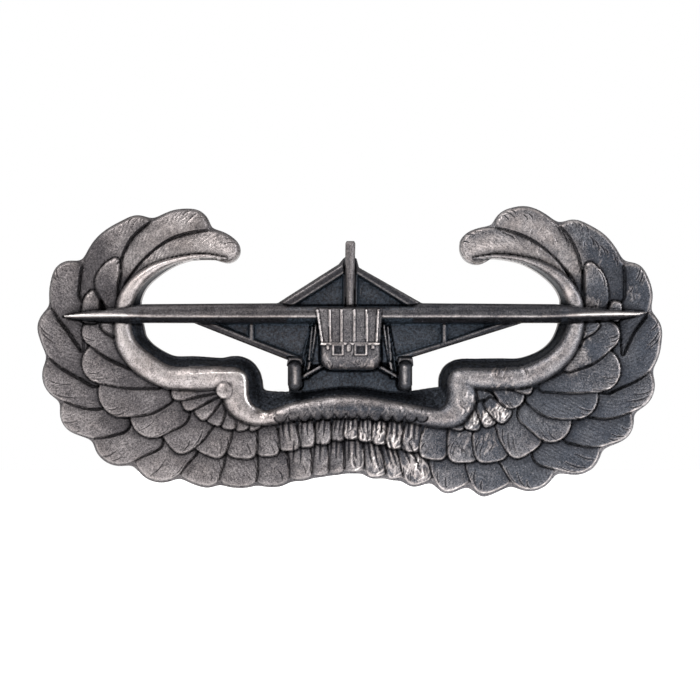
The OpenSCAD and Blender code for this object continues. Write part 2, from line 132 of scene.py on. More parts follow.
FAN_LEFT = [
    [(-5.9, -4.5, 0.42), (-6.3, -3.7, 0.3)],
    [(-6.65, -4.5, 0.46), (-6.9, -3.6, 0.3)],
    [(-7.4, -4.4, 0.48), (-7.3, -3.4, 0.3)],
    [(-8.2, -4.1, 0.52), (-7.8, -3.2, 0.3)],
    [(-8.95, -3.7, 0.55), (-8.1, -3.0, 0.3)],
    [(-9.75, -3.15, 0.56), (-8.3, -2.7, 0.3)],
    [(-10.35, -2.5, 0.6), (-8.4, -2.4, 0.3)],
]
FAN_RIGHT = [
    [(8.4, -3.05, 0.48), (8.0, -2.6, 0.3)],
    [(6.6, -4.45, 0.48), (6.8, -3.5, 0.3)],
    [(7.5, -4.4, 0.54), (7.6, -3.6, 0.42)],
    [(8.45, -4.2, 0.5), (8.1, -3.5, 0.42)],
    [(9.25, -3.85, 0.58), (8.6, -3.3, 0.4)],
    [(9.85, -2.75, 0.85), (9.2, -2.4, 0.5)],
    [(10.7, -2.2, 0.5), (9.8, -2.0, 0.4)],
]
CENTRE_FEATHER = [(0.25, -6.82, 0.68), (0.2, -5.4, 0.6)]

# The leading-edge band as discs (x, z, radius, width of the sloped ledge beside it).
BAND_LEFT = [
    (-7.6, 5.6, 0.05, 0.0), (-9.0, 5.74, 0.12, 0.0), (-10.5, 5.52, 0.19, 0.02),
    (-11.88, 5.02, 0.32, 0.12), (-13.0, 4.2, 0.44, 0.16), (-13.68, 3.16, 0.52, 0.28),
    (-13.85, 2.2, 0.52, 0.5), (-13.9, 1.2, 0.55, 0.65), (-13.6, 0.2, 0.65, 0.56),
    (-12.7, -0.8, 0.75, 0.5), (-11.2, -1.65, 0.72, 0.62), (-9.5, -1.75, 0.75, 0.62),
    (-7.9, -1.7, 0.7, 0.52), (-6.92, -1.78, 0.62, 0.76), (-6.98, -2.95, 0.82, 0.91),
    (-6.43, -3.76, 0.68, 1.08), (-5.3, -4.18, 0.45, 1.24), (-2.8, -3.65, 0.62, 0.5),
    (0.0, -3.45, 0.72, 0.5),
]
BAND_RIGHT = [
    (7.6, 5.6, 0.05, 0.0), (9.0, 5.72, 0.12, 0.0), (10.55, 5.52, 0.19, 0.02),
    (11.9, 5.02, 0.32, 0.08), (13.0, 4.22, 0.43, 0.12), (13.66, 3.2, 0.5, 0.2),
    (13.82, 2.2, 0.52, 0.42), (13.75, 1.2, 0.55, 0.42), (13.2, 0.0, 0.62, 0.36),
    (12.2, -0.95, 0.66, 0.38), (10.7, -1.65, 0.7, 0.48), (9.2, -1.75, 0.68, 0.56),
    (7.95, -1.75, 0.66, 0.56), (6.68, -1.76, 0.64, 0.5), (6.85, -2.85, 0.9, 0.5),
    (6.45, -3.82, 0.84, 0.86), (5.3, -4.15, 0.6, 1.24), (2.8, -3.7, 0.57, 0.55),
    (0.0, -3.45, 0.72, 0.5),
]
BAND = BAND_LEFT + BAND_RIGHT[-2::-1]
KNOB = (-7.68, -2.48, 0.5)             # the round boss at the left elbow
DRIPS = 13                             # small lobes under the arch
WHEEL_X = 3.38                         # the wheels, on either side of the middle
# The sheet under the right wing's feathers; the left wing's is its mirror copy.
SHEET_RIGHT = [
    (9.5, 6.6), (12.5, 7), (15.5, 5.6), (17.2, 3.5), (17.5, 1), (17, -2), (15.7, -4.4),
    (13.5, -5.8), (11, -6.8), (8, -7.2), (4, -7.1), (0, -6.8), (0, -4), (5.2, -4.2),
    (7, -3.2), (8, -2), (11.2, -1.8), (13.2, -0.4), (13.8, 1.3), (13.7, 2.6), (13.1, 4),
    (11.5, 5.3), (9.5, 5.8),
]

# How high each layer stands over the relief's own back.
SHEET_TOP, OUTER_TOP, MIDDLE_TOP, COVERT_TOP, FAN_TOP = 0.7, 1.37, 1.65, 1.72, 1.9
PLATE_TOP, PANEL_TOP, TAILPLANE_TOP, FIN_TOP = 1.3, 1.95, 2.05, 2.4
BAND_FOOT, BAND_CROWN, KNOB_TOP, RIB_TOP = 1.55, 0.62, 2.24, 2.62
RECESS_FLOOR, LOWEST, HIGHEST = 1.55, 0.42, 2.95

# ---------------------------------------------------------------- the height field
X0, X1, Z0, Z1 = -19.6, 19.6, -9.2, 9.2
xs = np.arange(X0, X1 + STEP, STEP)
zs = np.arange(Z0, Z1 + STEP, STEP)
GX, GZ = np.meshgrid(xs, zs, indexing="ij")
inside = np.full(GX.shape, -1.0)       # signed distance to the outline, positive inside
height = np.full(GX.shape, 0.55)       # above the relief's back
soot = np.zeros(GX.shape)              # black patina left in the hollows, and painted shade, 0 to 1
polish = np.zeros(GX.shape)            # bright from rubbing, and painted highlights, 0 to 1
barb = np.zeros(GX.shape)              # distance along the barbs' own direction
barbed = np.zeros(GX.shape)            # 1 on feathers
cold = np.zeros(GX.shape)              # 1 where the black has a blue cast
FIELDS = {"soot": soot, "polish": polish, "barb": barb, "barbed": barbed, "cold": cold}


def window(x0, z0, x1, z1, margin):
    """The slice of the field that holds a box and a margin round it."""
    i0 = max(int((x0 - margin - X0) / STEP), 0)
    i1 = int((x1 + margin - X0) / STEP) + 2
    j0 = max(int((z0 - margin - Z0) / STEP), 0)
    j1 = int((z1 + margin - Z0) / STEP) + 2
    return slice(i0, i1), slice(j0, j1)


def unit(x):
    """x held between 0 and 1."""
    return np.clip(x, 0, 1)


def smooth_step(x):
    """0 to 1 with a soft start and end."""
    t = unit(x)
    return t * t * (3 - 2 * t)


def spline(points, count):
    """Catmull-Rom points through rows of any width."""
    p = np.array(points, float)
    p = np.vstack([2 * p[0] - p[1], p, 2 * p[-1] - p[-2]])
    out = []
    spans = len(p) - 3
    for t in np.linspace(0, spans, count):
        i = min(int(t), spans - 1)
        u = t - i
        a, b, c, d = p[i:i + 4]
        out.append(0.5 * (2 * b + (c - a) * u + (2 * a - 5 * b + 4 * c - d) * u ** 2
                          + (3 * b - a - 3 * c + d) * u ** 3))
    return np.array(out)


def disc_field(discs, count=28, on=None, power=2.0):
    """Signed distance inside a swept chain of discs, where along it, and how far across; a
    power above 2 squares the tips off."""
    q = spline(discs, count)
    c = on or window((q[:, 0] - q[:, 2]).min(), (q[:, 1] - q[:, 2]).min(),
                     (q[:, 0] + q[:, 2]).max(), (q[:, 1] + q[:, 2]).max(), 1.2)
    x, z = GX[c], GZ[c]
    best = np.full(x.shape, -1e9)
    along, side, radius = (np.zeros(x.shape) for _ in range(3))
    length = 0.0
    for i in range(len(q) - 1):
        e = q[i + 1, :2] - q[i, :2]
        size = math.hypot(*e) + 1e-9
        raw = ((x - q[i, 0]) * e[0] + (z - q[i, 1]) * e[1]) / size
        t = unit(raw / size)
        r = q[i, 2] + t * (q[i + 1, 2] - q[i, 2])
        over = ((z - q[i, 1]) * e[0] - (x - q[i, 0]) * e[1]) / size
        if power == 2.0:
            f = r - np.hypot(raw - t * size, over)
        else:
            f = r - (np.abs(raw - t * size) ** power + np.abs(over) ** power) ** (1 / power)
        better = f > best
        best = np.where(better, f, best)
        along = np.where(better, length + raw, along)
        side = np.where(better, over, side)
        radius = np.where(better, r, radius)
        length += size
    return c, best, along, side, radius


def poly_field(points):
    """Signed distance inside a polygon."""
    p = np.array(points, float)
    c = window(p[:, 0].min(), p[:, 1].min(), p[:, 0].max(), p[:, 1].max(), 0.6)
    x, z = GX[c], GZ[c]
    dist = np.full(x.shape, 1e9)
    odd = np.zeros(x.shape, bool)
    for a, b in zip(p, np.roll(p, -1, axis=0)):
        e = b - a
        t = unit(((x - a[0]) * e[0] + (z - a[1]) * e[1]) / (e @ e))
        dist = np.minimum(dist, np.hypot(x - a[0] - t * e[0], z - a[1] - t * e[1]))
        crosses = (a[1] > z) != (b[1] > z)
        with np.errstate(divide="ignore", invalid="ignore"):
            cut = a[0] + (z - a[1]) * e[0] / (e[1] if e[1] else 1e-12)
        odd ^= crosses & (x < cut)
    return c, np.where(odd, dist, -dist)


def beside(d, width):
    """1 just outside an edge, falling to 0 at width beyond it; 0 inside."""
    return unit(1 + d / width) * (d <= 0)


def darken(c, value):
    """Lays dark no thinner than value, for patina and for painted shade."""
    soot[c] = np.maximum(soot[c], value)


def brighten(c, value):
    """Makes bright no less than value, for rubbing and for painted highlights."""
    polish[c] = np.maximum(polish[c], value)


def each(mark, rows):
    """Makes one mark from each row of arguments."""
    for row in rows:
        mark(*row)


def groove(c, d, depth, width, black=1.0, shade=0.0, spread=0.35):
    """Carves a V beside a shape, just outside its edge, and paints soft shade spread beyond it."""
    v = beside(d, width)
    height[c] -= depth * v
    far = shade * beside(d, spread) ** 1.5
    darken(c, np.maximum(black * smooth_step(v * 1.5), far))
    polish[c] *= 1 - np.maximum(v, far)


def put(c, d, new_height):
    """Overwrites the height inside a shape and adds the shape to the outline."""
    m = d > 0
    inside[c] = np.maximum(inside[c], d)
    height[c] = np.where(m, new_height, height[c])
    return m


def lay(c, m, **values):
    """Sets the named fields inside a shape."""
    for name, value in values.items():
        FIELDS[name][c] = np.where(m, value, FIELDS[name][c])


def rounded(d, width):
    """0 at an edge rising to 1 over width, as a quarter circle."""
    t = unit(d / width)
    return np.sqrt(unit(1 - (1 - t) ** 2))


def scratch(path, depth, width, black=1.0):
    """A short curved cut along a path of points, with a painted highlight on the lip beside it."""
    reach = sum(math.dist(a, b) for a, b in zip(path, path[1:]))
    q = spline([(p[0], p[1], 0.0) for p in path], max(16, int(reach / (0.4 * width))))
    c = window(q[:, 0].min(), q[:, 1].min(), q[:, 0].max(), q[:, 1].max(), 3 * width)
    x, z = GX[c], GZ[c]
    dist = np.full(x.shape, 1e9)
    for i, row in enumerate(q):
        taper = 1.0 - 0.75 * abs(2 * i / (len(q) - 1) - 1) ** 2
        dist = np.minimum(dist, np.hypot(x - row[0], z - row[1]) / taper)
    v = unit(1 - dist / width)
    height[c] -= depth * v
    darken(c, black * smooth_step(1.6 * v))
    lip = np.exp(-((dist - 1.5 * width) / (0.5 * width)) ** 2)
    brighten(c, 0.25 * lip * (inside[c] > 0.05))


def stamp_feather(discs, top, bright, crisp):
    """One gently crowned feather, high at its tip, with a rolled rim and painted shade beneath it.
    """
    widest = max(r for _, _, r in discs)
    low = discs[0][1] < -4 and abs(discs[0][0]) < 11
    c, d, along, side, radius = disc_field(discs, power=3.3 if low or widest < 0.65 else 2.0)
    tilt = 0.03 * np.clip(side / np.maximum(radius, 0.1), -1, 1)
    crown = 0.20 * rounded(d, 0.2) + 0.12 * rounded(d, 0.9 * widest)
    sink = 0.20 * smooth_step((along - 0.4 * widest) / (2.4 * widest))
    groove(c, d, 0.16, 0.07 if widest > 0.65 else 0.09, 0.7, 0.40, 0.6)
    m = put(c, d, top - 0.32 + crown - sink + tilt)
    # painted shade along the very edge and towards the root, where the feather goes under the next
    # row
    tuck = 0.2 * smooth_step((along / widest - 0.6) / 2.2)
    # painted highlight along the rim near the tip, crisp on the right wing
    rim = np.exp(-((d - 0.08) / 0.038) ** 2) * smooth_step(1.5 - along / (1.7 * widest))
    rim *= 0.7 + 0.3 * np.sin(side * 11 + along * 7)
    # painted light and shade: the face lighter at the tip and darker towards the root
    body = bright * (1.45 + 0.15 * np.sin(side * 5 + along * 1.7 + discs[0][0])
                     - 1.1 * smooth_step((along / widest + 0.3) / 2.5))
    lay(c, m, soot=np.maximum(0.3 * unit(1 - d / 0.05), tuck),
        polish=unit(body + (0.6 if crisp else 0.2) * rim),
        barb=along * 0.6 + side * math.copysign(0.8, discs[0][0]), barbed=1.0)
    return widest


def nicks(discs, side_sign, count):
    """Short parallel splits that run in from a feather's trailing edge along its barbs."""
    tip, nxt = np.array(discs[0]), np.array(discs[1])
    axis = nxt[:2] - tip[:2]
    axis /= np.linalg.norm(axis)
    across = np.array([-axis[1], axis[0]]) * side_sign
    r = tip[2]
    lean = (0.9 * axis - 0.4 * across) * r
    for k in range(count):
        turn = 0.55 + 1.1 * (k + RNG.uniform(0.1, 0.9)) / count
        out = across * math.sin(turn) - axis * math.cos(turn)
        start = tip[:2] + out * r * RNG.uniform(0.88, 0.97)
        end = start + lean * RNG.uniform(0.35, 1.05)
        bend = (start + end) / 2 + across * r * 0.08
        scratch([start, bend, end], 0.08, RNG.uniform(0.035, 0.06), 0.8)


def crumple(x, z, r, amount, count):
    """A patch of small upright dents: a painted highlight along each, and in some a black cut beside
    it as painted shade.
    """
    for _ in range(count):
        a, far = RNG.uniform(0, 6.28), r * math.sqrt(RNG.uniform(0, 1))
        px, pz = x + far * math.cos(a), z + far * math.sin(a)
        b, reach = RNG.normal(1.45, 0.45), RNG.uniform(0.08, 0.24)
        dx, dz = math.cos(b) * reach, math.sin(b) * reach
        path = [(px - dx, pz - dz), (px + 0.02, pz), (px + dx, pz + dz)]
        streak(path, RNG.uniform(0.04, 0.1), amount * RNG.uniform(0.4, 1.0))
        if RNG.uniform() < 0.4:
            scratch([(q[0] + 0.12, q[1]) for q in path], 0.05, 0.05, 0.6)


def stamp_row(feathers, top, bright, crisp, nick_side, push=0.0):
    """One row of feathers, each lying a little over the last, with nicks in the large ones."""
    for i, discs in enumerate(feathers):
        (x, z, r), (x1, z1, _) = discs[:2]
        far = math.hypot(x - x1, z - z1)
        discs = [(x + push * (x - x1) / far, z + push * (z - z1) / far, r + push)] + discs[1:]
        widest = stamp_feather(discs, top + 0.012 * i, bright + RNG.uniform(-0.05, 0.05), crisp)
        if widest > 0.7:
            nicks(discs, nick_side, 3 if crisp else 2)


def stamp(field, top, edge, drop, shine, black, cut, gap, rim):
    """A flat-topped raised shape with a rounded edge, a bright rim (rubbing and painted highlight)
    and a black line round it.
    """
    c, d = field
    groove(c, d, cut, gap)
    m = put(c, d, top - drop + drop * rounded(d, edge))
    at, wide, gain = rim
    rubbed_and_highlight = gain * np.exp(-((d - at) / wide) ** 2) * (1 - black)
    lay(c, m, soot=black, polish=unit(shine + rubbed_and_highlight), barbed=0.0)


def stamp_poly(points, top, edge=0.12, drop=0.25, shine=0.2, black=0.0, cut=0.25, gap=0.12):
    stamp(poly_field(points), top, edge, drop, shine, black, cut, gap, (0.08, 0.05, 0.35))


def stamp_discs(discs, top, edge=0.15, drop=0.3, shine=0.3, black=0.0, cut=0.3, gap=0.14):
    stamp(disc_field(discs)[:2], top, edge, drop, shine, black, cut, gap, (0.1, 0.06, 0.3))


def blurred(field, reach):
    """Running mean over a square, twice, so that it comes out nearly round."""
    n = max(int(reach / STEP), 1)
    for _ in range(2):
        for axis in (0, 1):
            pad = [(n + 1, n) if a == axis else (0, 0) for a in (0, 1)]
            total = np.cumsum(np.pad(field, pad, mode="edge"), axis=axis)
            size = field.shape[axis]
            high = np.take(total, range(2 * n + 1, 2 * n + 1 + size), axis=axis)
            field = (high - np.take(total, range(size), axis=axis)) / (2 * n + 1)
    return field


def build_feathers():
    for pts in (SHEET_RIGHT, [(-x, z) for x, z in SHEET_RIGHT]):
        c, d = poly_field(pts)
        put(c, d, np.full(d.shape, SHEET_TOP))
        lay(c, d > 0, soot=0.6)
    stamp_feather(CENTRE_FEATHER, OUTER_TOP - 0.02, 0.15, False)
    # the left rows are painted brighter all over, as lit from the left; the right rows get crisp
    # painted highlights on their rims
    stamp_row(OUTER_LEFT, OUTER_TOP, 0.12, False, -1, push=0.055)
    stamp_row(OUTER_RIGHT, OUTER_TOP, 0.045, True, 1, push=0.055)
    shade_under(MIDDLE_LEFT + MIDDLE_RIGHT, 1.0)
    stamp_row(MIDDLE_LEFT, MIDDLE_TOP, 0.12, False, -1)
    stamp_row(MIDDLE_RIGHT, MIDDLE_TOP, 0.055, True, 1)
    stamp_row(COVERTS_LEFT, COVERT_TOP, 0.14, False, 1)
    stamp_row(COVERTS_RIGHT, COVERT_TOP, 0.08, True, -1)
    stamp_row(FAN_LEFT, FAN_TOP, 0.10, False, -1)
    stamp_row(FAN_RIGHT, FAN_TOP, 0.06, True, 1)
    fill_notches()


def shade_under(feathers, spread):
    """Painted soft shade on what lies under the edge of a row still to be laid."""
    for discs in feathers:
        c, d, _, _, _ = disc_field(discs)
        far = 0.3 * unit(1 + d / spread) ** 2 * (inside[c] > 0.2)
        darken(c, far)
        polish[c] *= 1 - 0.6 * far


def fill_notches():
    """The sheet shows as a narrow bevel outside the feathers and fills the notches between."""
    beyond = np.maximum(np.maximum(np.abs(GX) - 14.2, GZ - 6.3), -5.0 - GZ)
    share = unit(beyond / 0.35)
    web = blurred(np.clip(inside, -0.7, 0.7), 0.33) + 0.06 - 0.4 * (1 - share)
    web += 0.06 * smooth_step(-5.5 - GZ)
    grown = np.maximum(inside, web) + 0.02 * share
    covered = (barbed > 0.5).astype(float)
    weight = blurred(covered, 0.25)
    face = blurred(covered * height, 0.25) / (weight + 1e-6)
    new = (grown > 0) & (covered < 0.5) & (weight > 0.02) & (beyond > 0) & (grown < 1.0)
    height[new] = face[new] - 0.12
    soot[new], polish[new], barbed[new] = 0.22, 0.1, 1.0
    inside[:] = grown


def flute_middle():
    """The narrow feathers at the middle are fluted down their length and bright from rubbing and
    painted highlights.
    """
    for feathers in (OUTER_LEFT[:3], OUTER_RIGHT[:3], MIDDLE_LEFT[:4], MIDDLE_RIGHT[:5],
                     [CENTRE_FEATHER]):
        for discs in feathers:
            (x0, z0, r0), (x1, z1, _) = discs[0], discs[-1]
            # strength of the painted highlights, more on the right of the middle
            wear_and_highlight = 0.85 if x0 > -0.2 else 0.35
            for shift in (-0.45, 0.15):
                low = (x0 + shift * r0, z0 + RNG.uniform(-0.1, 0.5) * r0)
                high = (x1 + shift * r0 * 0.9, z1 + 0.1)
                mid = ((low[0] + high[0]) / 2, (low[1] + high[1]) / 2)
                scratch([low, mid, high], 0.09, 0.08, 0.8)
                lit = [(q[0] + 0.12 + 0.1 * r0, q[1]) for q in (low, mid, high)]
                streak(lit, RNG.uniform(0.04, 0.08), wear_and_highlight * RNG.uniform(0.5, 1.0))
            edge = [(x0 + 0.1 * r0, z0 - 0.82 * r0), (x0 + 0.68 * r0, z0 - 0.45 * r0),
                    (x0 + 0.84 * r0, z0), (x1 + 0.85 * r0, (z0 + z1) / 2)]
            streak(edge, 0.06, wear_and_highlight)


def wear_and_highlight_feathers():
    """Bright patches, the pale top feathers, the large nicks and the dented tips with painted
    highlights.
    """
    each(blot, ((3.7, -7.2, 0.42, 0.6), (4.4, -7.7, 0.35, 0.6), (14.2, -0.4, 0.5, 0.4),
                (14.6, 3.0, 0.3, 0.4), (-14.0, 6.8, 1.6, 0.2), (13.6, -1.0, 0.6, 0.35)))
    each(streak, (
            ([(-7.6, 6.1), (-9.0, 6.5), (-10.6, 6.15), (-12.0, 5.2)], 0.75, 0.62),
            ([(-9.8, 7.7), (-11.2, 7.4), (-12.6, 6.4), (-13.6, 5.2)], 0.8, 0.46),
            ([(7.7, 6.2), (9.0, 6.5), (10.6, 6.2), (12.1, 5.3), (13.0, 4.4)], 0.75, 0.66),
            ([(9.9, 7.7), (11.3, 7.5), (12.8, 6.5), (13.7, 5.2)], 0.85, 0.55)))
    for x, z, dx, dz in (
            (14.7, 7.0, 0.25, -0.55), (15.0, 6.75, 0.3, -0.7), (15.35, 6.45, 0.3, -0.6),
            (15.65, 6.2, 0.2, -0.5), (16.1, 6.0, 0.15, -0.5), (16.3, 5.6, 0.1, -0.45),
            (12.6, 7.65, 0.4, -0.6), (12.95, 7.3, 0.35, -0.6), (13.2, 7.0, 0.3, -0.7),
            (10.55, 8.35, 0.35, -0.4), (10.9, 8.4, 0.35, -0.45), (9.2, 7.3, 0.5, -0.35),
            (9.6, 7.1, 0.5, -0.3), (15.2, 4.9, 0.3, -0.6), (15.45, 4.5, 0.15, -0.6)):
        scratch([(x, z), (x + 0.5 * dx + 0.06, z + 0.5 * dz + 0.04), (x + dx, z + dz)],
                0.1, RNG.uniform(0.045, 0.06), 0.85)
    each(crumple, (
            (0.0, -5.1, 0.35, 0.8, 9), (0.9, -5.1, 0.35, 0.9, 8), (1.8, -5.1, 0.4, 1.0, 12),
            (2.75, -5.3, 0.5, 1.0, 16), (1.5, -7.0, 0.5, 0.8, 10), (2.7, -7.1, 0.5, 0.8, 12),
            (4.0, -7.2, 0.75, 1.0, 30), (0.2, -6.8, 0.4, 0.8, 8), (3.7, -5.6, 0.4, 0.5, 7),
            (7.5, -4.3, 0.38, 1.0, 20), (8.4, -4.05, 0.4, 1.0, 24), (9.2, -3.75, 0.42, 1.0, 20),
            (14.3, 0.9, 0.4, 0.7, 8), (14.3, -0.4, 0.5, 0.5, 8), (14.8, 2.9, 0.4, 0.6, 8),
            (6.9, -5.7, 0.8, 0.45, 14), (8.5, -5.5, 0.8, 0.4, 12), (17.3, 3.6, 0.5, 0.25, 6),
            (11.5, 7.0, 1.3, 0.3, 12), (14.5, 5.6, 1.0, 0.3, 10)))


def streak(path, width, amount, over_soot=0.6):
    """A bright line, raised very slightly; most of its uses paint a highlight."""
    q = spline([(p[0], p[1], 0.0) for p in path], 40)
    c = window(q[:, 0].min(), q[:, 1].min(), q[:, 0].max(), q[:, 1].max(), 3 * width)
    dist = np.full(GX[c].shape, 1e9)
    for row in q:
        dist = np.minimum(dist, np.hypot(GX[c] - row[0], GZ[c] - row[1]))
    v = np.exp(-(dist / width) ** 2) * (inside[c] > 0.05) * (soot[c] < over_soot)
    height[c] += 0.04 * v
    soot[c] *= 1 - v * (over_soot > 0.6)
    brighten(c, amount * v)


def blot(x, z, r, amount):
    """A bright patch, broken up by a rough edge."""
    c = window(x - r, z - r, x + r, z + r, r)
    gx, gz = GX[c] - x, GZ[c] - z
    ragged = 0.25 * np.sin(gx * 23 + z) * np.sin(gz * 19 + x) + 0.15 * np.sin((gx + gz) * 41)
    ragged *= min(1.0, 0.5 / r)
    v = smooth_step(1.3 - np.hypot(gx * 1.25, gz * 0.8) / r + ragged) * (soot[c] < 0.5)
    brighten(c, amount * v)


def build_plate():
    """The dark plate between the wheels, under the nose."""
    stamp_poly([(-3.76, -3.6), (3.8, -3.6), (3.8, -0.4), (2, 1.9), (-2, 1.9), (-3.76, -0.3)],
               PLATE_TOP, shine=0.04, black=0.66)
    c = window(-3.8, -3.6, 3.8, 1.9, 0)
    cold[c] = 1.0


def build_band():
    """The smooth band and the black sloped ledge inside it."""
    c, d, _, _, _ = disc_field([(x, z, r + w) for x, z, r, w in BAND], 200)
    _, e, _, side, radius = disc_field([(x, z, r) for x, z, r, _ in BAND], 200, on=c)
    covered = barbed[c] * (inside[c] > 0.02)
    across = d / np.maximum(d - e, 0.1)
    slope = 0.95 + 0.12 * rounded(d, 0.1) + 0.55 * smooth_step((across - 0.15) / 0.85)
    free = (covered < 0.5) & (d > 0) & (e < 0)
    inside[c] = np.maximum(inside[c], d)
    height[c] = np.where(free, slope, height[c])
    # the ledge's faint blue cast is a painted reflection
    lay(c, free, soot=0.97 - 0.25 * np.exp(-((d - 0.1) / 0.06) ** 2), polish=0.0, cold=0.3)
    outer = barbed[c] > 0.5
    v = beside(e, 0.08) * outer
    # painted soft shade on the feathers beside the band
    far = 0.55 * beside(e, 0.45) ** 1.5 * outer
    height[c] -= 0.12 * v
    darken(c, np.maximum(0.7 * smooth_step(v * 1.4), far))
    t = unit(e / np.maximum(radius, 0.1))
    m = put(c, e, BAND_FOOT + BAND_CROWN * np.sqrt(unit(1 - (1 - t) ** 2)))
    # painted light and shade on the band: lighter along its crown, darker at its edges and towards
    # the right; the arch lighter above, darker below
    edge = 0.5 * unit(1 - e / 0.28) ** 1.5
    lit = 0.33 + 0.2 * smooth_step((t - 0.25) / 0.5) - 0.23 * smooth_step(GX[c] / 3)
    up = side / np.maximum(radius, 0.1)
    arch = smooth_step((4.7 - np.abs(GX[c])) / 1.2) * (GZ[c] < -2)
    darkening = np.maximum(edge * smooth_step((radius - 0.1) / 0.3),
                      0.35 * arch * smooth_step((0.25 - up) / 0.6))
    lit = lit * (1 - arch) + arch * (0.02 + 0.27 * smooth_step((up + 0.1) / 0.7))
    lay(c, m, soot=darkening, polish=lit, barbed=0.0)


def build_drips():
    """The row of small lobes that hangs under the arch, painted dark with the arch's shade."""
    for k in range(DRIPS):
        x = -4.2 + 0.72 * k + RNG.uniform(-0.06, 0.06)
        z = -3.98 + 0.1 * math.cos(x * 0.8) + RNG.uniform(-0.06, 0.04)
        r = RNG.uniform(0.27, 0.35)
        c, d, _, _, _ = disc_field([(x, z, r), (x, z + 0.25, r)])
        below = smooth_step((z + 0.3 - GZ[c]) / 0.35)
        v = beside(d, 0.12) * smooth_step((z + 0.1 - GZ[c]) / 0.25)
        height[c] -= 0.25 * v
        darken(c, smooth_step(v * 1.5))
        drip = below * (d > 0)
        inside[c] = np.maximum(inside[c], d)
        lobe = np.maximum(1.6 + 0.36 * rounded(d, 0.31), height[c])
        height[c] += drip * (lobe - height[c])
        # painted shade: the lobes lie in the shade under the arch
        soot[c] += drip * (0.48 - soot[c])
        polish[c] *= 1 - drip * 0.5
        lay(c, drip > 0.5, barbed=0.0)


def wear_and_highlight_band():
    """Bright patches on the band and the painted white highlight along its inner edge at the left
    elbow.
    """
    each(blot, ((-5.35, -4.0, 0.5, 0.65), (-10.0, -1.7, 0.9, 0.65), (-8.2, -1.6, 0.6, 0.7),
                (-13.6, 0.4, 0.6, 0.7), (-12.9, 4.1, 0.5, 0.65), (13.3, 3.4, 0.5, 0.6)))
    streak([(-9.6, -1.48), (-8.2, -1.4), (-6.85, -1.38)], 0.08, 0.8, 1.1)
    streak([(-6.7, -1.42), (-6.46, -1.6), (-6.4, -2.2), (-6.37, -2.9), (-6.1, -3.4),
            (-5.5, -3.74), (-5.1, -3.9)], 0.11, 1.0, 1.1)
    for x in np.arange(-4.0, 4.6, 0.5):
        crumple(x, -3.8, 0.4, 0.25, 4)
    each(crumple, ((-5.0, -4.05, 0.4, 0.65, 14), (7.0, -3.3, 0.6, 0.8, 16),
                   (9.2, -1.8, 0.8, 0.55, 16), (10.9, -1.5, 0.5, 0.5, 6)))


def build_knob():
    """The round boss at the left elbow, where the small fan starts."""
    c, d, _, _, _ = disc_field([KNOB, (KNOB[0], KNOB[1] + 0.01, KNOB[2])], 4)
    # painted soft shade round the boss, with a shallow groove
    groove(c, d, 0.04, 0.10, 0.1, 0.16, 0.3)
    m = put(c, d, KNOB_TOP - 0.22 + 0.22 * rounded(d, 0.46))
    lay(c, m, soot=0.12 * unit(1 - d / 0.1), polish=0.37, barbed=0.0)


def build_glider():
    """Wing panels, tailplane, fin, spar, fuselage and wheels."""
    for panel in ([(-9.8, 1.9), (-9.6, 1.66), (-3.0, -0.94), (-1.2, -0.94), (-1.2, 1.9)],
                  [(10.8, 1.9), (10.6, 1.66), (2.7, -0.8), (1.2, -0.8), (1.2, 1.9)]):
        stamp_poly(panel, PANEL_TOP, edge=0.16, drop=0.45, shine=0.03, black=0.74)
    recess([(-8.5, 1.66), (-6.12, 1.66), (-6.12, 0.7)])
    recess([(-5.92, 1.66), (-2.3, 1.66), (-2.9, -0.52), (-5.92, 0.62)])
    recess([(9.3, 1.66), (5.86, 1.66), (5.86, 0.48)])
    recess([(5.66, 1.66), (2.2, 1.66), (2.62, -0.48), (5.66, 0.42)])
    # painted highlights along panel edges, the fin and the tailplane
    for x in (-6.02, 5.76):
        streak([(x, 1.6), (x, 1.1), (x, 0.72)], 0.05, 0.4)
    streak([(-5.85, 1.5), (-5.85, 1.2), (-5.85, 0.8)], 0.04, 0.25)
    streak([(2.32, 1.2), (2.42, 0.6), (2.6, -0.2)], 0.05, 0.75)
    stamp_poly([(-5.1, 2.6), (-4.45, 2.86), (-0.7, 5.25), (-0.36, 5.66), (0.4, 5.62),
                (0.55, 5.05), (4.45, 2.84), (4.95, 2.6)], TAILPLANE_TOP, edge=0.3, drop=0.5,
               shine=0.06, black=0.66)
    recess([(-3.95, 2.45), (-0.36, 2.45), (-0.36, 4.7)])
    recess([(4.0, 2.45), (0.4, 2.45), (0.4, 4.68)])
    stamp_poly([(-0.22, 2.5), (0.22, 2.5), (0.3, 5.3), (0.33, 6.5), (0.25, 6.65), (-0.2, 6.65),
                (-0.28, 6.5), (-0.3, 5.3)], FIN_TOP, edge=0.26, drop=0.4, shine=0.16, black=0.35)
    streak([(-0.02, 2.7), (0.02, 4.2), (0.08, 6.4)], 0.07, 0.5)
    streak([(0.5, 2.85), (0.6, 3.6), (0.5, 4.35)], 0.05, 0.85)
    streak([(-4.3, 2.72), (-2.3, 3.97), (-0.5, 5.1)], 0.06, 0.22, 0.9)
    streak([(4.3, 2.76), (2.4, 3.95), (0.6, 5.05)], 0.06, 0.22, 0.9)
    build_spar()
    build_fuselage()


def recess(points, floor=RECESS_FLOOR, dark=0.56):
    """A sunk dark panel with a crisp inner edge and a painted highlight on the rim round it."""
    c, d = poly_field(points)
    t = smooth_step(d / 0.12)
    m = d > 0
    height[c] = np.where(m, height[c] * (1 - t) + floor * t, height[c])
    edge = np.exp(-((d - 0.06) / 0.09) ** 2)
    lay(c, m, soot=dark + 0.35 * edge, cold=1.0, polish=0.03)
    rim = np.exp(-((d + 0.07) / 0.045) ** 2)
    soot[c] *= 1 - 0.5 * rim
    brighten(c, 0.34 * rim * (inside[c] > 0))


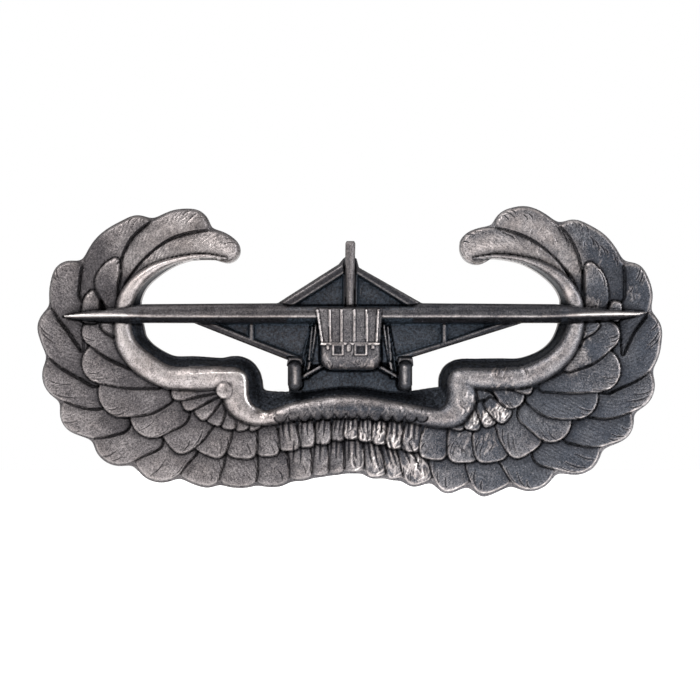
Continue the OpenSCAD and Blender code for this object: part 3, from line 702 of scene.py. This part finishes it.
def build_spar():
    """A cross spar with a painted highlight along its ridge low down and painted shade below it,
    drawn out to a point at each end.
    """
    outline = [(-17.6, 2.05), (-16.3, 1.84), (-13, 1.66), (0, 1.64), (13, 1.66), (16.5, 1.9),
               (18.2, 2.3), (16.6, 2.4), (14.0, 2.62), (12.6, 2.8), (4.3, 2.86),
               (3.8, 2.66), (-3.8, 2.66), (-4.3, 2.86), (-12.6, 2.8),
               (-14.0, 2.58), (-16.3, 2.28)]
    c, d = poly_field(outline)
    x, z = GX[c], GZ[c]
    far = smooth_step((np.abs(x) - 12.8) / 1.2)
    v = beside(d, 0.12) * (1 - 0.7 * far * (z > 2.1))
    height[c] -= 0.2 * v
    darken(c, 0.9 * smooth_step(v * 1.4))
    ridge = 2.05 + 0.08 * smooth_step((np.abs(x) - 11.5) / 3) + np.where(x > 0, 0.07, -0.03) \
        * smooth_step((np.abs(x) - 12.5) / 4)
    above = unit(z - ridge)
    below = unit(ridge - z)
    round_top = 0.18 * (1 - rounded(np.where(z > ridge, d, 1.0), 0.2))
    h = 2.42 - 0.30 * above / 0.75 - 1.25 * below - 0.25 * smooth_step((np.abs(x) - 14) / 4)
    m = put(c, d, h - round_top)
    # painted highlight on the ridge, brighter at the tips; painted shade, near black, on the face
    # below it; above it darker towards the top edge, with brush lines
    line = np.exp(-((z - ridge) / (0.07 + 0.045 * far)) ** 2)
    brushed = 0.06 * np.sin(z * 31 + x * 0.4) + 0.09 * np.sin(z * 13 - x * 0.7 + 1)
    dark = np.where(z > ridge, 0.56 + 0.25 * above * above + 0.1 * far + brushed,
                    0.55 + 0.45 * smooth_step(below / 0.14))
    glow = 0.27 + 0.08 * np.sin(x * 1.3) + 0.05 * np.sin(x * 9) + 0.4 * far
    lay(c, m, soot=dark * (1 - line), polish=unit(0.13 + line * glow), barbed=0.0)


def build_fuselage():
    """Ribbed nose, window bar, chin, struts, braces, wheels and their forks."""
    for s in (-1, 1):
        stamp_poly([(s * 2.05, 1.62), (s * 2.35, 1.62), (s * 2.95, -1.45), (s * 2.5, -1.45)],
                   1.75, edge=0.1, drop=0.25, shine=0.05, black=0.8)
        stamp_discs([(s * 2.05, 1.5, 0.09), (s * 2.62, -1.6, 0.09)], 1.98, 0.09, 0.2, 0.28,
                    black=0.3)
        stamp_discs([(s * 2.3, 1.4, 0.06), (s * 2.5, -0.6, 0.06)], 1.9, 0.06, 0.15, 0.2,
                    black=0.4)
        stamp_discs([(s * 3.05, -1.72, 0.1), (s * 1.75, -0.98, 0.1)], 2.0, 0.1, 0.2, 0.2,
                    black=0.4)
        stamp_poly([(s * WHEEL_X - 0.5, -1.0), (s * WHEEL_X + 0.5, -1.0), (s * WHEEL_X + 0.45, -0.5),
                    (s * WHEEL_X - 0.4, -0.46)], 2.1, shine=0.12, black=0.5)
        stamp_discs([(s * WHEEL_X, -1.12, 0.42), (s * WHEEL_X, -2.06, 0.42)], 2.35, 0.34, 0.5, 0.05,
                    black=0.74)
        # painted highlight down the middle of each wheel
        streak([(s * 3.34, -1.1), (s * 3.34, -1.6), (s * 3.34, -2.0)], 0.13, 0.36, 0.8)
        c = window(s * WHEEL_X - 0.42, -2.5, s * WHEEL_X + 0.42, -0.4, 0)
        cold[c] *= 0.25
    # a painted glint on the right fork
    blot(3.35, -0.75, 0.25, 0.8)
    hull = [(-2.1, 2.6), (2.0, 2.6), (1.82, 0.3), (1.86, -0.7), (1.72, -1.02), (1.4, -1.18),
            (-1.3, -1.18), (-1.62, -1.02), (-1.78, -0.7), (-1.76, 0.3)]
    c, d = poly_field(hull)
    below = GZ[c] < 1.9
    v = beside(d, 0.16) * below
    height[c] -= 0.4 * v
    darken(c, smooth_step(v * 1.5))
    x, z = GX[c], GZ[c]
    curve = 0.18 * (1 - ((x + 0.05) / 2.0) ** 2)
    chin = 0.5 * smooth_step((-0.35 - z) / 0.9)
    m = put(c, d, 2.1 + 0.3 * rounded(d, 0.25) + curve - chin)
    darkening = 0.15 + 0.35 * unit(1 - d / 0.2) + 0.25 * smooth_step((z - 2.1) / 0.5)
    # painted shade: the chin darker towards its rounded underside
    shine = np.where(z < 0.3, 0.13 - 0.1 * smooth_step((-0.3 - z) / 0.9), 0.15)
    lay(c, m, soot=darkening, polish=shine, cold=0.0, barbed=0.0)
    each(crumple, ((-1.25, -0.7, 0.35, 0.5, 7), (1.3, -0.75, 0.35, 0.55, 7),
                   (0.0, -0.55, 0.9, 0.4, 12)))
    for top_x, low_x in ((-1.99, -1.69), (-1.23, -1.19), (-0.52, -0.52), (0.27, 0.27),
                         (1.0, 1.05), (1.72, 1.62)):
        stamp_discs([(top_x, 2.42, 0.075), (low_x, 0.45, 0.075)], RIB_TOP, 0.075, 0.16, 0.4,
                    cut=0.08, gap=0.07)
    stamp_discs([(-1.75, 0.36, 0.075), (1.75, 0.38, 0.075)], RIB_TOP + 0.02, 0.075, 0.16, 0.45,
                cut=0.08, gap=0.07)
    for x_mid, w in ((-0.74, 0.34), (0.66, 0.39)):
        stamp_poly([(x_mid - w, 0.34), (x_mid + w, 0.34), (x_mid + w, -0.32),
                    (x_mid - w, -0.32)], RIB_TOP, edge=0.06, drop=0.1, shine=0.38, cut=0.08,
                   gap=0.07)
        w -= 0.09
        recess([(x_mid - w, 0.26), (x_mid + w, 0.26), (x_mid + w, -0.24),
                (x_mid - w, -0.24)], 2.42, 0.0)
        c = window(x_mid - w, -0.22, x_mid + w, 0.24, 0)
        cold[c] = 0.0
    for x, low, r in ((-1.35, 0.12, 0.1), (-0.08, 0.02, 0.14), (1.38, 0.14, 0.1)):
        stamp_discs([(x, 0.22, r), (x, low, r)], 2.56, r, 0.14, 0.3, cut=0.08, gap=0.08)


def tarnish_shade_and_highlight():
    """Patina gathers, with painted shade, where the surface is lower than what lies round it, and
    rubs off, with painted highlights, where it stands proud, so both follow the relief."""
    level = np.where(inside > 0, height, 0.9)
    for reach, deep, most in ((0.14, 0.10, 0.18), (0.45, 0.22, 0.42)):
        hollow = (blurred(level, reach) - level) / deep
        soot[:] = np.maximum(soot, most * smooth_step(hollow)) + 0.13 * unit(hollow)
        proud = smooth_step(-hollow)
        polish[:] = polish + 0.12 * proud * (1 - unit(soot)) * (0.4 + polish)
    # the struck edge: feathers end in a bevel, with a painted highlight where it meets their face
    wide = 0.2
    edge = unit(1 - inside / wide) * (inside > 0) * barbed
    height[:] = height - 0.22 * edge
    # painted light: bevel and highlight brighter on the right wing, the bevel darker on the left
    right = smooth_step(GX / 4 + 0.5)
    soot[:] = np.maximum(soot, (0.3 - 0.2 * right) * smooth_step(edge * 3))
    polish[:] = polish + 0.14 * right * edge
    line = np.exp(-((inside - wide) / 0.05) ** 2) * barbed * (soot < 0.5)
    polish[:] = polish + line * (0.04 + 0.24 * right)
    np.clip(soot, 0, 1, out=soot)
    np.clip(polish, 0, 1, out=polish)


build_feathers()
flute_middle()
wear_and_highlight_feathers()
build_plate()
build_band()
build_drips()
wear_and_highlight_band()
build_knob()
build_glider()
tarnish_shade_and_highlight()

# hand-cut unevenness, at two scales
for wave, size in ((1.3, 0.016), (0.6, 0.004)):
    phases = RNG.uniform(0, 6.28, 8)
    angles = RNG.uniform(0, 6.28, 8)
    for p, a in zip(phases, angles):
        height += size / 3 * np.sin((GX * math.cos(a) + GZ * math.sin(a)) * 6.28 / wave + p)
height = np.clip(height, LOWEST, HIGHEST)


# ---------------------------------------------------------------- from the field to meshes
def cut_out():
    """Marching squares: faces of the field inside its outline, and the outline's edges."""
    ins = inside > 0
    number = -np.ones(ins.shape, int)
    number[ins] = np.arange(ins.sum())
    gx, gz = GX[ins], GZ[ins]
    coords = [np.stack([gx, gz, height[ins]], axis=1)]
    fields = list(FIELDS.values())
    data = [np.stack([f[ins] for f in fields], axis=1)]
    count = len(gx)
    a, b = number[:-1, :-1], number[1:, :-1]
    d, e = number[:-1, 1:], number[1:, 1:]
    full = (a >= 0) & (b >= 0) & (d >= 0) & (e >= 0)
    quads = np.stack([a[full], b[full], e[full], d[full]], axis=1).tolist()
    some = ((a >= 0) | (b >= 0) | (d >= 0) | (e >= 0)) & ~full
    edge_points, extra, extra_data, rim = {}, [], [], []

    def crossing(p, q):
        key = (p, q) if p < q else (q, p)
        if key not in edge_points:
            fp, fq = inside[p], inside[q]
            t = np.clip(fp / (fp - fq), 0.02, 0.98)
            solid = p if ins[p] else q
            extra.append((GX[p] + t * (GX[q] - GX[p]), GZ[p] + t * (GZ[q] - GZ[p]),
                          height[solid] - 0.05))
            extra_data.append([f[solid] for f in fields])
            edge_points[key] = count + len(extra) - 1
        return edge_points[key]

    for i, j in zip(*np.nonzero(some)):
        ring = [(i, j), (i + 1, j), (i + 1, j + 1), (i, j + 1)]
        poly, cuts = [], []
        for k in range(4):
            p, q = ring[k], ring[(k + 1) % 4]
            if ins[p]:
                poly.append(number[p])
            if ins[p] != ins[q]:
                v = crossing(p, q)
                cuts.append((v, ins[p]))
                poly.append(v)
        if len(poly) >= 3:
            quads.append(poly)
        for k, (v, leaving) in enumerate(cuts):
            if leaving:
                rim.append((v, cuts[(k + 1) % len(cuts)][0]))
    coords.append(np.array(extra))
    data.append(np.array(extra_data))
    return np.vstack(coords), np.vstack(data), quads, rim


def new_mesh(name, verts, faces, smooth=True):
    me = bpy.data.meshes.new(name)
    me.from_pydata([tuple(v) for v in verts], [], faces)
    me.validate()
    me.update()
    if smooth:
        me.shade_smooth()
    o = bpy.data.objects.new(name, me)
    bpy.context.scene.collection.objects.link(o)
    return o


def loops_of(rim):
    """Chains the outline's edges into closed loops."""
    follow = dict(rim)
    loops = []
    while follow:
        start = next(iter(follow))
        loop, v = [], start
        while v in follow:
            loop.append(v)
            v = follow.pop(v)
        if len(loop) > 20:
            loops.append(loop)
    return loops


def relief_point(x, z, h):
    return (x * MM, (-BACK_Y - h) * MM, z * MM)


def build_relief():
    """The whole front as one piece, with the fields as its point attributes."""
    coords, data, faces, rim = cut_out()
    relief = new_mesh("relief", [relief_point(*p) for p in coords], faces)
    for k, name in enumerate(FIELDS):
        values = relief.data.attributes.new(name, "FLOAT", "POINT").data
        values.foreach_set("value", data[:, k].astype(np.float32))
    return relief, coords, loops_of(rim)


def build_edge(coords, loops):
    """The cut edge of the badge: a straight wall with a small round at the back."""
    rows = ((1.0, 0.0), (0.75, 0.0), (0.4, 0.0), (0.16, 0.0), (0.05, 0.035), (0.0, 0.11))
    verts, faces, caps = [], [], []
    for loop in loops:
        p = coords[loop]
        fwd, back = np.roll(p, -1, axis=0), np.roll(p, 1, axis=0)
        t = fwd[:, :2] - back[:, :2]
        n = np.stack([t[:, 1], -t[:, 0]], axis=1)
        n = sum(np.roll(n, k, axis=0) for k in range(-4, 5))
        n /= np.linalg.norm(n, axis=1)[:, None] + 1e-9
        base = len(verts)
        for share, inset in rows:
            for q, out in zip(p, n):
                h = q[2] * share if share in (1.0, 0.0) else 0.55 * share
                verts.append(relief_point(q[0] - out[0] * inset, q[1] - out[1] * inset, h))
        size = len(loop)
        for r in range(len(rows) - 1):
            for k in range(size):
                a, b = base + r * size + k, base + r * size + (k + 1) % size
                faces.append((a, b, b + size, a + size))
        caps.append([base + (len(rows) - 1) * size + k for k in range(size)])
    return verts, faces, caps


def build_back(coords, loops):
    """The cut edge and the flat back as one piece."""
    verts, faces, caps = build_edge(coords, loops)
    back = new_mesh("edge_and_back", verts, faces)
    bm = bmesh.new()
    bm.from_mesh(back.data)
    bm.verts.ensure_lookup_table()
    edges = []
    for cap in caps:
        for a, b in zip(cap, cap[1:] + cap[:1]):
            edge = bm.edges.get((bm.verts[a], bm.verts[b]))
            if edge:
                edges.append(edge)
    bmesh.ops.triangle_fill(bm, use_beauty=True, use_dissolve=False, edges=edges)
    for face in bm.faces:
        if all(abs(v.co.y + BACK_Y * MM) < 1e-7 for v in face.verts) and face.normal.y < 0:
            face.normal_flip()
    bm.to_mesh(back.data)
    bm.free()
    back.data.shade_smooth()
    for p in back.data.polygons:
        if abs(p.normal.y) > 0.999:
            p.use_smooth = False
    return back


def build_tablet():
    """The plain raised tablet on the back, with a rounded border and a sunk field."""
    half_w, half_h = 3.0, 1.5
    rows = ((0.0, -0.05), (0.0, 0.06), (0.10, 0.13), (0.22, 0.15), (0.42, 0.15), (0.5, 0.11))
    per = 12
    verts, faces = [], []
    for inset, y in rows:
        w, h = half_w - inset, half_h - inset
        r = max(0.5 - inset, 0.06)
        for k in range(4 * per):
            quarter, step = divmod(k, per)
            a = (quarter + step / (per - 1)) * math.pi / 2
            cx = (w - r) * (1 if quarter in (0, 3) else -1)
            cz = (h - r) * (1 if quarter in (0, 1) else -1)
            verts.append(((cx + r * math.cos(a)) * MM, (y - BACK_Y) * MM,
                          (cz + r * math.sin(a)) * MM))
    n = 4 * per
    for row in range(len(rows) - 1):
        for k in range(n):
            a, b = row * n + k, row * n + (k + 1) % n
            faces.append((a, a + n, b + n, b))
    faces.append([(len(rows) - 1) * n + k for k in range(n)][::-1])
    return new_mesh("back_tablet", verts, faces)


# ---------------------------------------------------------------- materials
# the wings run from warm on the left to cool on the right; the left's extra lightness is painted
# light
WARM_DARK, WARM_PALE = (0.072, 0.066, 0.070, 1), (0.118, 0.108, 0.112, 1)
COOL_DARK, COOL_PALE = (0.049, 0.055, 0.069, 1), (0.084, 0.088, 0.101, 1)
# pale silver for rubbing and painted highlights, near white for the brightest
RUBBED_AND_LIT_DULL, RUBBED_AND_LIT_BRIGHT = (0.47, 0.41, 0.39, 1), (0.62, 0.57, 0.56, 1)
BURNISHED_AND_HIGHLIGHT = (0.94, 0.92, 0.90, 1)
# black for patina and for painted shade
BLACK_OXIDE_AND_SHADE, COLD_BLACK_OXIDE_AND_SHADE = (0.010, 0.010, 0.012, 1), (0.018, 0.024, 0.032, 1)
GREY_SPECK = (0.2, 0.2, 0.21, 1)
BARB_PITCH = 0.21                      # from one hatched barb to the next, in millimetres


class Nodes:
    """Short calls for building a node tree."""

    def __init__(self, name):
        self.mat = bpy.data.materials.new(name)
        self.mat.use_nodes = True
        self.tree = self.mat.node_tree
        self.tree.nodes.clear()
        self.out = self.add("ShaderNodeOutputMaterial")
        self.bsdf = self.add("ShaderNodeBsdfPrincipled")
        self.link(self.bsdf.outputs[0], self.out.inputs[0])

    def add(self, kind, **props):
        n = self.tree.nodes.new(kind)
        for key, value in props.items():
            setattr(n, key, value)
        return n

    def link(self, a, b):
        self.tree.links.new(a, b)

    def put(self, socket, value):
        if hasattr(value, "is_output"):
            self.link(value, socket)
        else:
            socket.default_value = value

    def math(self, op, a, b=0.0, clamp=False):
        n = self.add("ShaderNodeMath", operation=op, use_clamp=clamp)
        self.put(n.inputs[0], a)
        self.put(n.inputs[1], b)
        return n.outputs[0]

    def times(self, a, b):
        return self.math("MULTIPLY", a, b)

    def plus(self, a, b, clamp=False):
        return self.math("ADD", a, b, clamp)

    def minus(self, a, b):
        return self.math("SUBTRACT", a, b)

    def mix(self, factor, a, b):
        n = self.add("ShaderNodeMix", data_type="RGBA")
        self.put(n.inputs["Factor"], factor)
        self.put(n.inputs["A"], a)
        self.put(n.inputs["B"], b)
        return n.outputs["Result"]

    def ramp(self, value, low, high, a=0.0, b=1.0):
        n = self.add("ShaderNodeMapRange", clamp=True)
        self.put(n.inputs["Value"], value)
        for socket, v in zip(("From Min", "From Max", "To Min", "To Max"), (low, high, a, b)):
            n.inputs[socket].default_value = v
        return n.outputs["Result"]

    def attribute(self, name):
        return self.add("ShaderNodeAttribute", attribute_name=name).outputs["Fac"]

    def place(self):
        return self.add("ShaderNodeTexCoord").outputs["Object"]

    def noise(self, size_mm, detail=2.0, rough=0.5, vector=None):
        n = self.add("ShaderNodeTexNoise")
        n.inputs["Scale"].default_value = 1.0 / (size_mm * MM)
        n.inputs["Detail"].default_value = detail
        n.inputs["Roughness"].default_value = rough
        self.link(vector or self.place(), n.inputs["Vector"])
        return n.outputs["Fac"]

    def stretched(self, size_mm, scale, turn=0.0):
        """Noise drawn out into lines: along x where the scale's x is small, and so on."""
        n = self.add("ShaderNodeMapping")
        n.inputs["Scale"].default_value = scale
        n.inputs["Rotation"].default_value = (0.0, turn, 0.0)
        self.link(self.place(), n.inputs["Vector"])
        return self.noise(size_mm, 2, 0.5, n.outputs["Vector"])

    def toned(self, colour, value):
        """A colour made darker or lighter by a value about 1."""
        n = self.add("ShaderNodeHueSaturation")
        self.link(colour, n.inputs["Color"])
        self.link(value, n.inputs["Value"])
        return n.outputs["Color"]

    def bump(self, height_value, distance_mm, strength=1.0, under=None):
        n = self.add("ShaderNodeBump")
        n.inputs["Strength"].default_value = strength
        n.inputs["Distance"].default_value = distance_mm * MM
        self.link(height_value, n.inputs["Height"])
        if under:
            self.link(under, n.inputs["Normal"])
        return n.outputs["Normal"]


def silver_relief():
    """Oxidised silver: black in the hollows and in painted shade, grey on the feathers, bright from
    rubbing and painted highlights.
    """
    m = Nodes("oxidised_silver")
    dark, shine = m.attribute("soot"), m.attribute("polish")
    grain = m.noise(0.085, 2, 0.6)
    cloud = m.noise(1.6, 2, 0.5)
    x = m.add("ShaderNodeSeparateXYZ")
    m.link(m.place(), x.inputs[0])
    # left to right: warm to cool, and lighter to darker as painted light from the left
    side = m.ramp(x.outputs["X"], -7 * MM, 6 * MM)
    wing = m.mix(side, WARM_DARK, COOL_DARK)
    wing = m.mix(m.ramp(cloud, 0.35, 0.7), wing, m.mix(side, WARM_PALE, COOL_PALE))
    mottle = m.noise(0.34, 3, 0.6)
    pale = m.mix(m.ramp(cloud, 0.3, 0.7), RUBBED_AND_LIT_DULL, RUBBED_AND_LIT_BRIGHT)
    wear_and_highlight = m.times(shine, m.ramp(mottle, 0.3, 0.7, 0.6, 1.35))
    wear_and_highlight = m.plus(wear_and_highlight, m.ramp(m.noise(0.07, 1, 0.5), 0.66, 0.76, 0.0, 0.35))
    lit = m.ramp(m.plus(wear_and_highlight, m.times(m.minus(grain, 0.5), 0.35)),
                 0.05, 0.95)
    colour = m.mix(lit, wing, pale)
    speck = m.ramp(grain, 0.32, 0.64, 0.5, 1.45)
    speck = m.times(speck, m.ramp(m.noise(0.19, 2, 0.6), 0.36, 0.64, 0.82, 1.18))
    calm = m.times(m.minus(1.0, speck), m.times(lit, 0.6))
    speck = m.plus(speck, calm)
    silver = m.toned(colour, speck)
    phase = m.times(m.attribute("barb"), 6.2832 / BARB_PITCH)
    phase = m.plus(phase, m.times(m.noise(0.5, 2, 0.5), 7.0))
    hatch = m.times(m.math("SINE", phase), m.attribute("barbed"))
    hatch = m.times(hatch, m.ramp(cloud, 0.38, 0.6, 0.2, 1.0))
    rough_oxide = m.minus(m.times(m.minus(grain, 0.5), 0.5),
                         m.times(hatch, 0.05))
    # how black: patina and painted shade
    blackness = m.plus(dark, rough_oxide, True)
    sand = m.ramp(m.noise(0.15, 2, 0.75), 0.36, 0.66, 0.2, 2.3)
    # near white for the brightest rubbing and painted highlights
    white = m.mix(m.ramp(shine, 0.8, 1.0, 0.0, 0.85), silver, BURNISHED_AND_HIGHLIGHT)
    black = m.mix(m.attribute("cold"), BLACK_OXIDE_AND_SHADE, COLD_BLACK_OXIDE_AND_SHADE)
    black = m.mix(m.ramp(m.noise(0.1, 1, 0.5), 0.7, 0.78, 0.0, 0.3), black, GREY_SPECK)
    colour = m.mix(m.math("POWER", blackness, 0.75), white, m.toned(black, sand))
    m.link(colour, m.bsdf.inputs["Base Color"])
    m.bsdf.inputs["Metallic"].default_value = 0.92
    m.bsdf.inputs["Specular IOR Level"].default_value = 0.3
    rough = m.minus(m.ramp(grain, 0.25, 0.75, 0.40, 0.54),
                   m.times(shine, 0.12))
    m.link(m.plus(rough, m.times(dark, 0.08), True),
           m.bsdf.inputs["Roughness"])
    n = m.bump(hatch, 0.009, 0.8)
    n = m.bump(grain, 0.03, 0.75, n)
    m.link(n, m.bsdf.inputs["Normal"])
    return m.mat


def silver_back():
    """The back: the same silver, sandblasted flat and evenly darkened, with fine scratches."""
    m = Nodes("blasted_silver")
    grain, cloud = m.noise(0.09, 3, 0.6), m.noise(2.5, 3, 0.55)
    lines = m.stretched(0.12, (0.06, 1.0, 1.0), 0.5)
    base = m.mix(m.ramp(cloud, 0.3, 0.7), (0.16, 0.15, 0.15, 1), (0.33, 0.31, 0.305, 1))
    colour = m.mix(m.ramp(lines, 0.66, 0.8, 0, 0.45), base, (0.5, 0.48, 0.47, 1))
    m.link(colour, m.bsdf.inputs["Base Color"])
    m.bsdf.inputs["Metallic"].default_value = 0.9
    m.link(m.ramp(grain, 0.3, 0.7, 0.38, 0.55), m.bsdf.inputs["Roughness"])
    n = m.bump(grain, 0.03, 0.6)
    m.link(m.bump(lines, 0.01, 0.5, n), m.bsdf.inputs["Normal"])
    return m.mat


def worn_metal(name, low, high, size_mm, rough):
    """Drawn or pressed metal: two tones in clouds, fine draw lines and a soft grain."""
    m = Nodes(name)
    cloud, grain = m.noise(size_mm, 3, 0.6), m.noise(0.06, 2, 0.6)
    lines = m.stretched(0.05, (1.0, 0.08, 1.0))
    colour = m.mix(m.ramp(cloud, 0.32, 0.68), low, high)
    m.link(colour, m.bsdf.inputs["Base Color"])
    m.bsdf.inputs["Metallic"].default_value = 1.0
    m.link(m.ramp(m.plus(grain, m.times(cloud, 0.5)), 0.5, 1.0,
                  rough - 0.07, rough + 0.08), m.bsdf.inputs["Roughness"])
    n = m.bump(lines, 0.006, 0.6)
    m.link(m.bump(grain, 0.006, 0.5, n), m.bsdf.inputs["Normal"])
    return m.mat


def paint(node, material):
    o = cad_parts[node]
    o.data.materials.clear()
    o.data.materials.append(material)


# ---------------------------------------------------------------- put it together
relief, coords, loops = build_relief()
back = build_back(coords, loops)
tablet = build_tablet()
relief.data.materials.append(silver_relief())
blasted = silver_back()
for piece in (back, tablet):
    piece.data.materials.append(blasted)
for piece in (relief, back, tablet):
    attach(piece, "badge")
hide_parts("badge_body")

steel = worn_metal("post_wire", (0.50, 0.49, 0.46, 1), (0.72, 0.70, 0.66, 1), 0.8, 0.3)
solder = worn_metal("solder", (0.30, 0.30, 0.30, 1), (0.52, 0.52, 0.51, 1), 0.5, 0.42)
cup_brass = worn_metal("cup_brass", (0.46, 0.32, 0.13, 1), (0.54, 0.39, 0.17, 1), 1.4, 0.3)
spring_brass = worn_metal("spring_brass", (0.43, 0.30, 0.13, 1), (0.50, 0.36, 0.16, 1), 1.1, 0.27)
for side in ("left", "right"):
    paint("post_" + side, steel)
    paint("post_pad_" + side, steel)
    paint("solder_" + side, solder)
    paint("clutch_cup_" + side, cup_brass)
    for node in ("spring_plate_", "arm_a_", "arm_b_"):
        paint(node + side, spring_brass)


# ---------------------------------------------------------------- floor, light and camera
FLOOR_Z, FLOOR_HALF = -0.045, 0.6
CAMERA_VIEW = 42.7 * MM                # width of the view in the plane it is measured in
CAMERA_PLANE = -2.2 * MM


def build_floor():
    n, half = 24, FLOOR_HALF
    verts = [((i / n - 0.5) * 2 * half, (j / n - 0.5) * 2 * half, FLOOR_Z)
             for j in range(n + 1) for i in range(n + 1)]
    faces = [(j * (n + 1) + i, j * (n + 1) + i + 1, (j + 1) * (n + 1) + i + 1,
              (j + 1) * (n + 1) + i) for j in range(n) for i in range(n)]
    o = new_mesh("floor", verts, faces, smooth=False)
    m = Nodes("pale_floor")
    tone = m.mix(m.noise(9.0, 2, 0.5), (0.93, 0.93, 0.93, 1), (0.97, 0.97, 0.97, 1))
    m.link(tone, m.bsdf.inputs["Base Color"])
    m.bsdf.inputs["Roughness"].default_value = 0.8
    m.link(tone, m.bsdf.inputs["Emission Color"])
    m.bsdf.inputs["Emission Strength"].default_value = 0.85
    o.data.materials.append(m.mat)


def soft_box(name, place, aim, size, watts, colour=(1, 1, 1)):
    lamp = bpy.data.lights.new(name, "AREA")
    lamp.shape, lamp.size, lamp.size_y = "RECTANGLE", size[0], size[1]
    lamp.energy, lamp.color = watts, colour
    o = bpy.data.objects.new(name, lamp)
    o.location = place
    o.rotation_euler = (Vector(aim) - Vector(place)).to_track_quat("-Z", "Y").to_euler()
    bpy.context.scene.collection.objects.link(o)


def build_light():
    """A pale tent, brighter up and to the left, that the camera itself sees as plain white."""
    world = bpy.data.worlds.new("studio")
    bpy.context.scene.world = world
    world.use_nodes = True
    tree = world.node_tree
    link = tree.links.new
    tent = tree.nodes["Background"]
    where = tree.nodes.new("ShaderNodeTexCoord")
    toward = tree.nodes.new("ShaderNodeVectorMath")
    toward.operation = "DOT_PRODUCT"
    toward.inputs[1].default_value = (-0.50, -0.25, 0.83)
    link(where.outputs["Generated"], toward.inputs[0])
    level = tree.nodes.new("ShaderNodeMapRange")
    for socket, v in zip(("From Min", "From Max", "To Min", "To Max"), (-0.6, 0.95, 0.15, 1.05)):
        level.inputs[socket].default_value = v
    link(toward.outputs["Value"], level.inputs["Value"])
    link(level.outputs["Result"], tent.inputs["Strength"])
    tent.inputs["Color"].default_value = (1, 1, 1, 1)
    white = tree.nodes.new("ShaderNodeBackground")
    white.inputs["Strength"].default_value = 1.0
    seen = tree.nodes.new("ShaderNodeLightPath")
    pick = tree.nodes.new("ShaderNodeMixShader")
    link(seen.outputs["Is Camera Ray"], pick.inputs[0])
    link(tent.outputs[0], pick.inputs[1])
    link(white.outputs[0], pick.inputs[2])
    link(pick.outputs[0], tree.nodes["World Output"].inputs[0])
    white.inputs["Color"].default_value = (1, 1, 1, 1)
    soft_box("key", (-0.14, -0.16, 0.22), (0, 0, 0), (0.10, 0.10), 0.55, (1.0, 0.98, 0.96))
    soft_box("rim", (0.20, -0.05, 0.06), (0, 0, 0), (0.03, 0.12), 0.25, (0.95, 0.97, 1.0))


def build_camera():
    cam = bpy.data.cameras.new("camera")
    cam.lens, cam.sensor_width = 100.0, 36.0
    o = bpy.data.objects.new("camera", cam)
    o.location = (0.0, CAMERA_PLANE - CAMERA_VIEW * cam.lens / cam.sensor_width, 0.0)
    o.rotation_euler = (math.pi / 2, 0, 0)
    cam.clip_start, cam.clip_end = 0.005, 5.0
    bpy.context.scene.collection.objects.link(o)
    bpy.context.scene.camera = o


build_floor()
build_light()
build_camera()
scene = bpy.context.scene
scene.view_settings.view_transform = "Standard"
scene.view_settings.look = "None"
